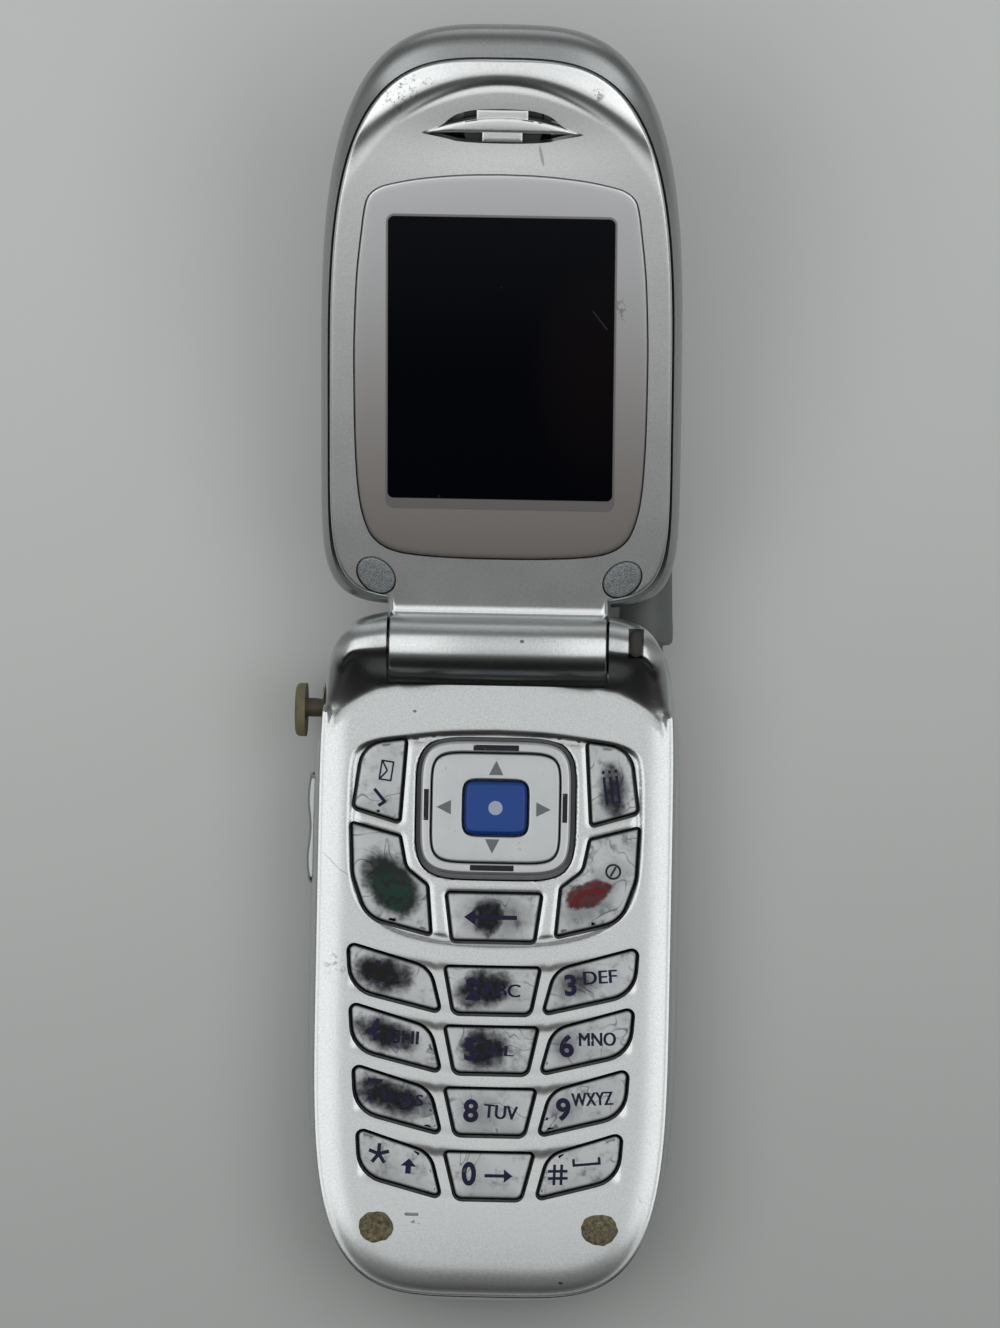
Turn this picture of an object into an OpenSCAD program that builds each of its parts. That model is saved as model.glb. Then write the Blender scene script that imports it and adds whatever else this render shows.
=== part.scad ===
// Clamshell telephone lying on its back with the lid open. Millimetres, +Z up.
// The origin is on the rest plane, straight below the hinge axis, which runs along X.
// The base reaches towards -Y and the lid towards +Y. "Foot" is the end away from the hinge.

/* [Base] */
// Widest half width of the base
base_half = 23.5; // [22.5:0.1:26]
// Inset of the flat front face's edge from the base's side
face_in = 1.4; // [1.2:0.1:1.9]
// Reach of the base below the hinge axis
base_foot = 83.4; // [82.8:0.1:90]
// Reach of the base behind the hinge axis
base_head = 4.2; // [4:0.1:4.6]
// Distance of the widest place from the hinge axis
base_widest = 40; // [36:1:44]
// Height of the parting line between rear and front cover
part_z = 7.5; // [7.3:0.1:7.8]
// Height of the ceiling under the front face
ceiling_z = 12.9; // [12.7:0.1:13]
// Wall of the base covers
base_wall = 1.3; // [1.1:0.05:1.5]
// Thickness of the front face
face_t = 1.4; // [1.2:0.05:1.8]
// Thickness of the rear floor
floor_t = 1.4; // [1.2:0.05:1.5]

/* [Lid] */
// Widest half width of the lid
lid_half = 22.7; // [22.5:0.1:24]
// Reach of the lid from the hinge axis
lid_tip = 80.5; // [80:0.1:86]
// Start of the lid's covers from the hinge axis
lid_root = 4.6; // [4.55:0.05:5]
// Thickness of the lid
lid_t = 8.7; // [8.6:0.1:10]
// Thickness of the lid at its root
lid_root_t = 5; // [4.9:0.05:5.2]
// Wall of the lid's outer cover
lid_wall = 1.2; // [1:0.05:1.25]
// Width of the lid's rim beside the inner cover
rim_side = 1.3; // [1.1:0.05:1.5]
// Reach of the inner cover from the hinge axis
inner_tip = 76.8; // [76.4:0.1:77.4]
// Thickness of the inner cover
inner_t = 1.6; // [1.5:0.05:1.7]
// Width of the groove round the inner cover
groove = 0.12; // [0.08:0.01:0.2]
// Height of the hinge axis over the lid's and the base's facing planes
face_drop = 0.3; // [0.28:0.01:0.4]
// Tilt of the open lid above the level
rest_tilt = 20; // [18:1:24]

/* [Hinge] */
// Radius of the lid's barrel
barrel_r = 4.4; // [4.3:0.05:4.45]
// Half length of the barrel
barrel_half = 13.8; // [13.4:0.1:14]
// Gap between the barrel and what surrounds it
barrel_gap = 0.35; // [0.3:0.05:0.4]
// Radius of the base's ears
ear_r = 4.3; // [4.1:0.05:4.4]
// Radius of the hinge shaft
shaft_r = 1.25; // [1:0.05:1.4]
// Radial clearance of running fits
run_fit = 0.05; // [0.03:0.01:0.08]
// Radius of the hinge cartridge
can_r = 3.35; // [3.2:0.05:3.45]
// Radius of the hinge bush
bush_r = 2.6; // [2.4:0.05:2.8]
// Bore radius of the hinge bush
bush_bore_r = 1.8; // [1.7:0.05:1.9]
// Depth of shaft and bush in the ears
ear_seat = 2.6; // [2:0.1:2.8]

/* [Keys] */
// Height of the keys over the front face
key_proud = 0.25; // [0.15:0.01:0.3]
// Gap round each key
key_fit = 0.15; // [0.1:0.01:0.2]
// Reach of a key's flange past the key
key_flange = 0.35; // [0.28:0.01:0.4]
// Thickness of a key's flange
flange_t = 0.6; // [0.4:0.05:0.65]
// Bevel round the top of a key
key_bevel = 0.15; // [0.1:0.01:0.2]
// Space below each key for its travel
key_drop = 0.35; // [0.33:0.01:0.4]
// Thickness of the keypad mat
mat_t = 0.6; // [0.5:0.05:0.7]
// Height of the mat's plungers
plunger_t = 0.8; // [0.7:0.05:0.9]
// Distance of the first row of digits from the hinge axis
row_first = 40.7; // [40.5:0.1:40.9]
// Pitch of the first two rows of digits
row_pitch = 7.6; // [7.55:0.01:7.65]
// Half width of the four-way ring
ring_half = 9.7; // [9.5:0.05:9.8]
// Half length of the four-way ring
ring_long = 8.5; // [8.3:0.05:8.6]
// Distance of the four-way ring's centre from the hinge axis
ring_t = 20.6; // [20.5:0.05:20.7]
// Dark groove round the four-way ring
ring_groove = 0.7; // [0.6:0.05:0.75]

/* [Display] */
// Half width of the display opening
view_half = 14.25; // [13.8:0.05:14.5]
// Lower edge of the display opening
view_low = 18.1; // [17.8:0.1:18.4]
// Upper edge of the display opening
view_high = 56.7; // [56.2:0.1:57]
// Half width of the window panel
panel_half = 18.4; // [18.2:0.1:18.6]
// Thickness of the window panel
panel_t = 0.8; // [0.7:0.05:0.9]
// Thickness of the display module
display_t = 2.5; // [2.3:0.1:2.6]

/* [Battery] */
// Half width of the battery
battery_half = 16; // [15:0.1:16.2]
// Upper end of the battery, from the hinge axis
battery_head = 27.2; // [27:0.1:27.6]
// Distance of the battery's lower end from the base's foot
foot_room = 10; // [9.8:0.1:13.4]
// Thickness of the battery
battery_t = 6.1; // [5.8:0.05:6.2]

/* [Side parts] */
// Height of the antenna's axis
antenna_z = 7; // [6.9:0.05:7.1]
// Distance of the antenna's axis from the base's side
antenna_in = 5; // [4.9:0.05:5.2]
// Radius of the antenna stub at its root
stub_r = 3.5; // [3.2:0.05:3.6]
// Radius of the antenna whip
whip_r = 0.8; // [0.6:0.05:0.85]
// Length of the whip behind its knob
whip_l = 77; // [66:1:78]
// Radius of the headset jack's bore
jack_r = 1.3; // [1.25:0.05:1.35]
// Depth of the headset jack's bore
jack_depth = 7.5; // [7:0.1:8]
// Distance of the headset jack from the hinge axis
jack_t = 8.3; // [8.2:0.05:8.4]
// Height of the headset jack's bore
jack_z = 6.9; // [6.8:0.05:7]
// Height of the jack cover's strap
strap_z = 11.2; // [11.1:0.05:11.3]
// Length of the strap outside the wall
strap_out = 2.5; // [2.3:0.1:2.8]
// Distance of the volume rocker from the hinge axis
rocker_t = 23.6; // [23:0.1:24]
// Half length of the volume rocker
rocker_half = 7.1; // [6.5:0.1:7.3]

/* [Hidden] */
$fn = 64;
STEPS = 13;
EPS = 0.01;
FACET = 32;

// Colours
SILVER = [0.78, 0.80, 0.80];
KEY_SILVER = [0.76, 0.77, 0.78];
BLACK = [0.06, 0.06, 0.07];
GREEN = [0.15, 0.35, 0.22];
STEEL = [0.62, 0.63, 0.64];
BRASS = [0.78, 0.65, 0.32];
OLIVE = [0.37, 0.36, 0.27];

// Widths and reaches that follow the base and the lid
face_half = base_half - face_in;
inner_half = lid_half - rim_side;
battery_foot = base_foot - foot_room;
antenna_x = base_half - antenna_in;

// Heights of the base
axis_z = ceiling_z + face_t + face_drop;
face_z = ceiling_z + face_t;
seat_gap = 0.05;
press_fit = 0.02;
flange_top = ceiling_z - seat_gap;
flange_low = flange_top - flange_t;
mat_top = flange_low - key_drop;
mat_low = mat_top - mat_t;
board_top = mat_low - plunger_t;
board_t = 1;
board_low = board_top - board_t;
bay_roof_t = 1;
bay_roof = battery_t + 0.3;
bay_fit = 0.2;
bay_wall = 1;

// Heights inside the lid, down from its face
window_top = -panel_t - 0.1;
display_top = -inner_t - seat_gap;
display_low = display_top - display_t;
lid_board_t = 0.8;
lid_board_low = display_low - lid_board_t;
lid_widest = 33;
inner_root = 5.9;
lid_floor = lid_wall - lid_t;

// ---------------------------------------------------------------- outlines

function unit(v) = v / norm(v);
function side(v) = v < 0 ? -1 : 1;
function smooth(u) = let (c = min(1, max(0, u))) c * c * (3 - 2 * c);

// Rounded outline that is symmetric in X: a superellipse with its own reach and exponent at each end.
function egg(half, mid, low, high, n_low, n_high, steps = STEPS) = [
    for (i = [0:4 * steps - 1])
        let (w = 90 * i / steps, c = cos(w), s = sin(w), n = s < 0 ? n_low : n_high,
             reach = s < 0 ? mid - low : high - mid)
        [half * side(c) * pow(abs(c), 2 / n), mid + reach * side(s) * pow(abs(s), 2 / n)]
];

// Points of the arc of radius r that rounds corner b between a and c.
function corner(a, b, c, r, n) =
    r < EPS ? [b] :
    let (u = unit(a - b), v = unit(c - b), half = acos(u * v) / 2,
         centre = b + unit(u + v) * r / sin(half),
         p = b + u * r / tan(half) - centre, q = b + v * r / tan(half) - centre,
         start = atan2(p[1], p[0]), turn = (atan2(q[1], q[0]) - start + 540) % 360 - 180)
    [for (i = [0:n]) centre + r * [cos(start + turn * i / n), sin(start + turn * i / n)]];

// Outline through corners given as [x, y, radius], counter-clockwise.
function rounded(c, n = 4) = let (k = len(c)) [
    for (i = [0:k - 1])
        let (a = c[(i + k - 1) % k], b = c[i], d = c[(i + 1) % k])
        each corner([a[0], a[1]], [b[0], b[1]], [d[0], d[1]], b[2], n)
];

function slab(half, low, high, r) =
    rounded([[half, low, r], [half, high, r], [-half, high, r], [-half, low, r]]);
function mirrored(p) = [for (i = [len(p) - 1:-1:0]) [-p[i][0], p[i][1]]];

// The outline p, moved outwards by d.
function swell(p, d) = let (k = len(p)) [
    for (i = [0:k - 1])
        let (a = unit(p[i] - p[(i + k - 1) % k]), b = unit(p[(i + 1) % k] - p[i]),
             m = [a[1] + b[1], -a[0] - b[0]])
        p[i] + d * m / (1 + a * b)
];

module plate(low, high, outline) {
    translate([0, 0, low])
        linear_extrude(high - low)
            polygon(outline);
}

module block(x, y, z) {
    translate([x[0], y[0], z[0]])
        cube([x[1] - x[0], y[1] - y[0], z[1] - z[0]]);
}

module post(x, y, z, r) {
    translate([x, y, z[0]])
        cylinder(h = z[1] - z[0], r = r);
}

// Round bar along X or along Y.
module bar_x(x, y, z, r) {
    translate([x[0], y, z])
        rotate([0, 90, 0])
            cylinder(h = x[1] - x[0], r = r);
}

module bar_y(x, y, z, r) {
    translate([x, y[0], z])
        rotate([-90, 0, 0])
            cylinder(h = y[1] - y[0], r = r);
}

// Solid through egg-shaped rings from the lowest up. Each cap is a strip between left and right.
module loft(rings) {
    count = len(rings[0]);
    q = count / 4;
    last = (len(rings) - 1) * count;
    walls = [
        for (k = [0:len(rings) - 2], i = [0:count - 1])
            let (a = k * count + i, b = k * count + (i + 1) % count)
            each [[a, a + count, b + count], [a, b + count, b]]
    ];
    caps = [
        for (i = [-q:q - 1])
            let (a = (i + count) % count, b = (i + 1 + count) % count, c = 2 * q - i - 1, d = 2 * q - i)
            each [if (i < q - 1) [a, b, c], if (i > -q) [a, c, d % count]]
    ];
    lids = [for (f = caps) [last + f[2], last + f[1], last + f[0]]];
    polyhedron(points = [for (r = rings) each r], faces = concat(walls, caps, lids));
}

// ---------------------------------------------------------------- base shells

// Ring of the base: its insets at the side, the foot and the head, and mix 0 for the wide belt
// and 1 for the front face's outline.
function base_ring(z, in_side, in_foot, in_head, mix = 0) = [
    for (p = egg(base_half - in_side, -base_widest, in_foot - base_foot, base_head - in_head,
                 3.5 + 0.75 * mix, 4.2 + 3.3 * mix))
        [p[0], p[1], z]
];

face_outline = egg(face_half, -base_widest, 0.9 - base_foot, base_head, 4.25, 7.5);

module rear_form() {
    loft([
        base_ring(0, 5.7, 4.4, 2.7),
        base_ring(1, 2.9, 1.8, 1.0),
        base_ring(2.6, 1.3, 0.6, 0.2),
        base_ring(5, 0.3, 0.1, 0),
        base_ring(part_z, 0, 0, 0)
    ]);
}

module rear_room(top) {
    w = base_wall;
    loft([
        base_ring(floor_t, 5 + w, 3.6 + w, 1.6 + w),
        base_ring(2.8, 1.6 + w, 0.8 + w, 0.4 + w),
        base_ring(5, 0.3 + w, 0.1 + w, w),
        base_ring(top, w, w, w)
    ]);
}

module front_form() {
    loft([
        base_ring(part_z, 0, 0, 0),
        base_ring(part_z + 3.5, 0, 0, 0, 0.2),
        base_ring(face_z - 1.3, 0.35 * face_in, 0.3, 0, 0.6),
        base_ring(face_z - 0.4, 0.7 * face_in, 0.6, 0, 0.9),
        base_ring(face_z, face_in, 1, 0, 1)
    ]);
}

module front_room(top) {
    w = base_wall;
    loft([
        base_ring(part_z - EPS, w, w, w),
        base_ring(part_z + 0.5, w, w, w),
        base_ring(top, w + 0.35 * face_in, w + 0.3, w, 0.5)
    ]);
}

// What the turning lid needs: the barrel's trough and the room behind it for the open neck.
module barrel_trough() {
    room = barrel_r + barrel_gap;
    half = barrel_half + 0.3;
    far = 3 * base_head;
    back = room * [sin(rest_tilt), -cos(rest_tilt)];
    bar_x([-half, half], 0, axis_z, room);
    translate([-half, 0, axis_z])
        rotate([90, 0, 90])
            linear_extrude(2 * half)
                polygon([
                    [-room, 0], [0, 0], back, back + far * [cos(rest_tilt), sin(rest_tilt)],
                    [far, 2 * room], [-room, 2 * room]
                ]);
}

ear_x = barrel_half + 0.3;
ear_pivot = ear_x + 3.4;
// Balls along the crest of an ear: [x, y, height under the axis, radius].
crest = [
    [ear_pivot, -0.7, 0, 0.9 * ear_r],
    [ear_pivot + 2, -2.5, 0.2, 2.5],
    [ear_pivot + 3.8, -7.9, 0.8, 0.75]
];

module crest_ball(b) {
    translate([b[0], b[1], axis_z - b[2]])
        sphere(r = b[3], $fn = FACET);
}

module ear_form() {
    hull() {
        translate([ear_x - 0.2, 0, axis_z])
            rotate([0, 90, 0])
                cylinder(h = 2, r = ear_r, $fn = FACET);
        crest_ball(crest[0]);
    }
    for (i = [0, 1])
        hull() {
            crest_ball(crest[i]);
            crest_ball(crest[i + 1]);
        }
}

head_screw = [base_half - 13.5, -9];
foot_screw = [base_half - 10.5, 6.4 - base_foot];
screw_spots = [for (p = [head_screw, foot_screw], x = [1, -1]) [x * p[0], p[1]]];
boss_r = 2.2;
thread_r = 0.8;
slot_x = base_half - 6;
slot_y = 0.8;

module strap_slot() {
    block([slot_x - 0.8, slot_x + 0.8], [slot_y - 1.9, slot_y + 1.5], [axis_z - 2.4, axis_z + ear_r + 1]);
    block([slot_x - 0.8, slot_x + 0.8], [slot_y, base_head + 1], [axis_z - 2.4, axis_z - 1]);
}

module antenna_hole() {
    bar_y(antenna_x, [-4.5, base_head + 1], antenna_z, ferrule_r + run_fit);
    bar_y(antenna_x, [-0.5, base_head + 1], antenna_z, stub_r + 0.2);
}

module side_openings() {
    bar_x([-base_half, -base_half + 5], -jack_t, jack_z, nose_r + 0.1);
    block([-base_half - 1, cover_seat_x], [-jack_t - 4, -jack_t + 3.4],
          [(jack_z + strap_z) / 2 - 4.8, (jack_z + strap_z) / 2 + 4.8]);
    block([-connector_half - 0.3, connector_half + 0.3], [-base_foot - 1, -base_foot + 3],
          [connector_low, connector_low + connector_h]);
}

// ---------------------------------------------------------------- keys

function row_t(i) = row_first + row_pitch * i + 0.125 * i * (i - 1);

// Middle key of a row, and the key to its right.
function middle_key(i) = let (t = row_t(i), half = 6.15 - 0.13 * i, foot = 4.95 - 0.25 * i)
    rounded([[foot, -t - 6.1, 1.1], [half, -t, 0.5], [-half, -t, 0.5], [-foot, -t - 6.1, 1.1]]);
function right_key(i) = let (t = row_t(i), out = 18.5 - 0.35 * i - 0.06 * i * i, in = 6.4 - 0.15 * i)
    rounded([[in, -t - 6, 0.5], [out - 0.4, -t - 3.2, 2.6], [out, -t + 2.8, 0.5], [in + 1.5, -t - 0.25, 2.6]]);

soft_key = rounded([
    [12.1, -22.7, 0.3], [18.2, -20.9, 0.5], [17.1, -12.7, 3], [11.4, -11.9, 0.3]
]);
call_key = rounded([
    [7.85, -36.9, 0.4], [16.2, -34.8, 4], [18.1, -29.4, 5], [18.4, -22.6, 0.4],
    [12, -24.3, 0.5], [11.2, -28.3, 2.2], [8.4, -30.5, 0.8]
]);
back_key = rounded([
    [5.3, -37.6, 0.7], [6.15, -31.3, 0.5], [-6.15, -31.3, 0.5], [-5.3, -37.6, 0.7]
]);

ring_mid = -ring_t;
plate_half = 7.9;
plate_long = 6.7;
select_half = 4.05;
select_long = 3.45;
function nav_outline(half, long, n) = egg(half, ring_mid, ring_mid - long, ring_mid + long, n, n, 9);
ring_outline = nav_outline(ring_half, ring_long, 5.2);
plate_outline = nav_outline(plate_half, plate_long, 8);
select_outline = nav_outline(select_half, select_long, 6.5);

key_outlines = [
    back_key, soft_key, mirrored(soft_key), call_key, mirrored(call_key),
    for (i = [0:3]) each [middle_key(i), right_key(i), mirrored(right_key(i))]
];

module key(outline, shade = KEY_SILVER) {
    color(shade) {
        plate(flange_low, flange_top, swell(outline, key_flange));
        plate(flange_low, face_z + key_proud - key_bevel, outline);
        plate(flange_low, face_z + key_proud, swell(outline, -key_bevel));
    }
}

rock_gap = 0.25;
ring_floor = [mat_top + 0.3, ceiling_z - rock_gap - 0.05];

module nav_ring() {
    color(KEY_SILVER)
        difference() {
            union() {
                plate(ring_floor[0], ring_floor[1], swell(ring_outline, ring_groove + 0.2));
                plate(ring_floor[0], face_z + key_proud, ring_outline);
            }
            plate(ring_floor[1], face_z + 1, swell(plate_outline, key_fit + 0.05));
            plate(ring_floor[0] - 1, face_z, swell(select_outline, 2 * key_fit));
        }
}

module nav_plate() {
    color(KEY_SILVER)
        difference() {
            plate(ring_floor[1] + rock_gap + 0.05, face_z + key_proud + 0.05, plate_outline);
            plate(ring_floor[1], face_z + 1, swell(select_outline, key_fit));
        }
}

module key_select() {
    color([0.12, 0.35, 0.72]) {
        plate(flange_low, face_z + key_proud, select_outline);
        plate(flange_low, face_z + key_proud + key_bevel, swell(select_outline, -key_bevel));
    }
}

// ---------------------------------------------------------------- base pieces

bumper_spots = [for (x = [1, -1]) [x * (base_half - 9.2), 9.4 - base_foot]];
mic_spot = [-9.7, 11 - base_foot];

module base_front_cover() {
    color(SILVER)
        difference() {
            union() {
                difference() {
                    front_form();
                    intersection() {
                        front_room(ceiling_z);
                        block([-base_half, base_half], [-base_foot, -barrel_r - 2], [0, axis_z]);
                    }
                    intersection() {
                        front_room(part_z + 1);
                        block([-base_half, base_half], [-barrel_r - 3, base_head], [0, axis_z]);
                    }
                }
                intersection() {
                    union() {
                        ear_form();
                        mirror([1, 0, 0])
                            ear_form();
                    }
                    plate(part_z, axis_z + 2 * ear_r, face_outline);
                }
                for (p = screw_spots)
                    post(p[0], p[1], [part_z, ceiling_z + EPS], boss_r);
            }
            barrel_trough();
            for (p = screw_spots)
                post(p[0], p[1], [part_z - 1, ceiling_z - 0.8], thread_r);
            bar_x([-ear_x - ear_seat, 0], 0, axis_z, shaft_r + press_fit);
            bar_x([0, ear_x + ear_seat], 0, axis_z, bush_r + press_fit);
            strap_slot();
            antenna_hole();
            side_openings();
            bar_x([-base_half, -base_half + 5], -jack_t, strap_z, strap_r + run_fit);
            plate(ceiling_z - 1, face_z + 1, swell(ring_outline, ring_groove));
            for (k = key_outlines)
                plate(ceiling_z - 1, face_z + 1, swell(k, key_fit));
            block([mic_spot[0] - 0.9, mic_spot[0] + 0.9], [mic_spot[1] - 0.2, mic_spot[1] + 0.2],
                  [ceiling_z - 1, face_z + 1]);
            block([-base_half - 1, -base_half + 4],
                  [-rocker_t - rocker_half - 0.15, -rocker_t + rocker_half + 0.15],
                  [rocker_low - 0.15, rocker_high + 0.15]);
            block([-base_half + 1.15, -base_half + 3], [-rocker_t - rocker_half - 0.6, -rocker_t + rocker_half + 0.6],
                  [rocker_low - 0.55, rocker_high + 0.45]);
        }
}

latch_half = 6;
latch_t = 24.2;
latch_gap = 0.2;
latch_travel = 1.2;
tub_head = battery_head - bay_fit - bay_wall;
tub_foot = battery_foot + bay_fit + bay_wall;
tub_half = battery_half + bay_fit + bay_wall;
speaker_spot = [head_screw[0] - 8, -14];
speaker_r = 6;
head_r = 1.9;

module base_rear_cover() {
    color(SILVER)
        difference() {
            union() {
                difference() {
                    rear_form();
                    rear_room(part_z + EPS);
                }
                intersection() {
                    rear_form();
                    union() {
                        block([-tub_half, tub_half], [-tub_foot, -tub_head], [0, bay_roof + bay_roof_t]);
                        for (p = screw_spots)
                            post(p[0], p[1], [0, part_z], boss_r + 0.5);
                    }
                }
            }
            block([-battery_half - bay_fit, battery_half + bay_fit],
                  [-battery_foot - bay_fit, -battery_head + bay_fit], [-1, bay_roof]);
            for (p = screw_spots) {
                post(p[0], p[1], [-1, 2.2], head_r + 0.2);
                post(p[0], p[1], [0, part_z + 1], thread_r + 0.3);
            }
            antenna_hole();
            side_openings();
            bar_y(antenna_x, [13.4 - base_foot, 0], antenna_z, whip_r + 0.3);
            block([antenna_x - whip_r - 0.3, antenna_x + whip_r + 0.3], [13.4 - base_foot, -4], [antenna_z, part_z + 1]);
            block([-contact_half - 0.2, contact_half + 0.2],
                  [-contact_t - 1.7, -contact_t + 1.7], [battery_t, part_z + 1]);
            block([-latch_half - latch_gap, latch_half + latch_gap],
                  [-latch_t - 1.5 - latch_gap, -latch_t + 1.5 + latch_travel + latch_gap], [-1, floor_t + 1]);
            block([-hook_half - latch_gap, hook_half + latch_gap], [-battery_head, -tub_head + 1],
                  [hook_z[0] - latch_gap, hook_z[1] + latch_gap]);
            for (i = [-2:2])
                block([speaker_spot[0] + 2 * i - 0.4, speaker_spot[0] + 2 * i + 0.4],
                      [speaker_spot[1] - 3, speaker_spot[1] + 3], [-1, floor_t + 1]);
        }
}

mat_outline = slab(face_half - 3.5, -row_t(3) - 6.75, -11.6, 3);

module keypad_mat() {
    color([0.72, 0.73, 0.74])
        difference() {
            union() {
                intersection() {
                    plate(mat_low, mat_top, mat_outline);
                    plate(mat_low - 1, mat_top + 1, swell(face_outline, -2.2));
                }
                for (i = [0:3], x = [-12.5, 0, 12.5])
                    post(x, -row_t(i) - 3, [board_top, mat_low], 1.5);
                for (x = [-14.5, 14.5], t = [17, 29])
                    post(x, -t, [board_top, mat_low], 1.5);
                for (t = [13.5, ring_t, 27.7, 34.5])
                    post(0, -t, [board_top, mat_low], 1.5);
                for (x = [-7, 7])
                    post(x, -ring_t, [board_top, mat_low], 1.5);
            }
            post(mic_spot[0], mic_spot[1], [mat_low - 1, mat_top + 1], 2.2);
        }
}

board_outline = egg(base_half - base_wall - 1.5, -base_widest, 2.5 - base_foot, -6.8, 3.5, 6);

module main_board() {
    color(GREEN)
        difference() {
            plate(board_low, board_top, board_outline);
            for (p = screw_spots)
                post(p[0], p[1], [board_low - 1, board_top + 1], boss_r + 0.3);
            block([-base_half, -base_half + 6.2], [-13, 0], [board_low - 1, board_top + 1]);
        }
    color(BLACK)
        for (t = [rocker_t - 4.5, rocker_t + 4.5])
            block([-base_half + 2.9, -base_half + 4.7], [-t - 1.6, -t + 1.6], [board_top, board_top + 0.75]);
}

module shield_cans() {
    color(STEEL)
        for (y = [[-46, -27.5], [4 - contact_t, -47.5]])
            difference() {
                block([-14.5, 14.5], y, [bay_roof + bay_roof_t + 0.1, board_low]);
                block([-14.2, 14.2], [y[0] + 0.3, y[1] - 0.3], [bay_roof + bay_roof_t + 0.4, board_low + 1]);
            }
}

contact_half = 4.5;
contact_t = battery_foot - 3.9;
hook_half = 3;
hook_z = [floor_t + 0.2, floor_t + 1.4];

module battery() {
    color(SILVER)
        difference() {
            intersection() {
                rear_form();
                block([-battery_half, battery_half], [-battery_foot, -battery_head], [0, battery_t]);
            }
            block([-hook_half - 0.4, hook_half + 0.4], [-battery_head - 1.4, -battery_head + 1],
                  [hook_z[0] - 0.3, hook_z[1] + 0.3]);
        }
}

module battery_latch() {
    color(SILVER) {
        block([-latch_half, latch_half], [-latch_t - 1.5, -latch_t + 1.5], [0.2, hook_z[0] + EPS]);
        block([-latch_half - 2, latch_half + 2], [-latch_t - 1.6, -latch_t + 2.6], hook_z);
        block([-hook_half, hook_half], [-battery_head - 0.9, -latch_t], hook_z);
    }
}

module battery_contacts() {
    color(BLACK)
        block([-contact_half, contact_half], [-contact_t - 1.5, -contact_t + 1.5], [battery_t + 0.4, board_low]);
    color(BRASS)
        for (x = [-3, 0, 3])
            block([x - 0.6, x + 0.6], [-contact_t - 1, -contact_t + 1], [battery_t + 0.02, battery_t + 0.4]);
}

ferrule_r = 2.2;
stub_end = 17;

module antenna_stub() {
    color([0.42, 0.43, 0.43])
        translate([antenna_x, 0, antenna_z])
            rotate([-90, 0, 0])
                rotate_extrude()
                    polygon([
                        [whip_r + 0.1, -4], [ferrule_r, -4], [ferrule_r, 0.5], [stub_r - 0.3, 0.5],
                        [stub_r, 1], [stub_r, 3], [stub_r - 0.4, stub_end - 1], [stub_r - 0.9, stub_end],
                        [whip_r + 0.1, stub_end]
                    ]);
}

module antenna_whip() {
    color(BLACK)
        translate([antenna_x, 0, antenna_z])
            rotate([-90, 0, 0])
                rotate_extrude()
                    polygon([
                        [0, stub_end - whip_l], [whip_r, stub_end - whip_l], [whip_r, stub_end + 0.2],
                        [1.9, stub_end + 0.2], [2.1, stub_end + 0.6], [2.1, stub_end + 2.2],
                        [1.5, stub_end + 3], [0, stub_end + 3.1]
                    ]);
}

jack_wall = 1.45 - base_half;
nose_r = 2.2;
nose_x = jack_wall + 0.15;
strap_r = 1.15;
cover_t = 1.4;
nub_r = 1.2;
cover_x = jack_wall - strap_out;
cover_seat_x = 1.2 - base_half;

module headset_jack() {
    color(BLACK)
        difference() {
            union() {
                block([-base_half + 3.9, -base_half + 10.3], [-jack_t - 2.7, -jack_t + 1.7], [jack_z - 2, board_low]);
                bar_x([nose_x, -base_half + 4.2], -jack_t, jack_z, nose_r);
            }
            bar_x([nose_x - 1, nose_x + jack_depth], -jack_t, jack_z, jack_r);
        }
}

strap_head = [3.2 - base_half, 3.8 - base_half];

module jack_cover_strap() {
    color(OLIVE) {
        bar_x([cover_x - 0.7, strap_head[0]], -jack_t, strap_z, strap_r);
        bar_x(strap_head, -jack_t, strap_z, strap_r + 0.35);
        bar_x([cover_x - 0.75, cover_x - 0.3], -jack_t, strap_z, strap_r + 0.35);
    }
}

// The flange and its nub. The flange is bored for the strap's headed end, on which it turns.
module jack_cover() {
    mid = (jack_z + strap_z) / 2;
    reach = (strap_z - jack_z) / 2 + 2.3;
    color(OLIVE)
        difference() {
            union() {
                translate([cover_x - cover_t, -jack_t - 0.3, 0])
                    rotate([90, 0, 90])
                        linear_extrude(cover_t)
                            polygon(egg(3.4, mid, mid - reach, mid + reach, 2.6, 2.6, 8));
                bar_x([cover_x - 0.5, nose_x - 0.3], -jack_t, jack_z, nub_r);
            }
            bar_x([cover_x - 0.75 - seat_gap, cover_x - 0.3 + seat_gap], -jack_t, strap_z, strap_r + 0.4);
            bar_x([cover_x - 1, cover_x + 1], -jack_t, strap_z, strap_r + seat_gap);
        }
}

connector_half = 7;
connector_low = board_low - 3.6;
connector_h = 3.4;

module charge_connector() {
    y = [-base_foot + base_wall + 0.25, -base_foot + 8];
    color(STEEL)
        difference() {
            block([-connector_half, connector_half], y, [connector_low + 0.1, board_low]);
            block([-connector_half + 0.8, connector_half - 0.8], [y[0] - 1, y[0] + 4],
                  [connector_low + 0.7, board_low - 0.8]);
        }
    color(BLACK)
        block([-connector_half + 2, connector_half - 2], [y[0] + 0.8, y[0] + 4.2],
              [connector_low + 1.3, connector_low + 2]);
}

module microphone() {
    color(STEEL)
        post(mic_spot[0], mic_spot[1], [board_top, ceiling_z - 0.2], 1.8);
}

module ringer_speaker() {
    color(BLACK) {
        post(speaker_spot[0], speaker_spot[1], [floor_t + seat_gap, floor_t + 3], speaker_r);
        post(speaker_spot[0], speaker_spot[1], [floor_t + 2.9, floor_t + 4.2], speaker_r - 2);
    }
}

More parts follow.
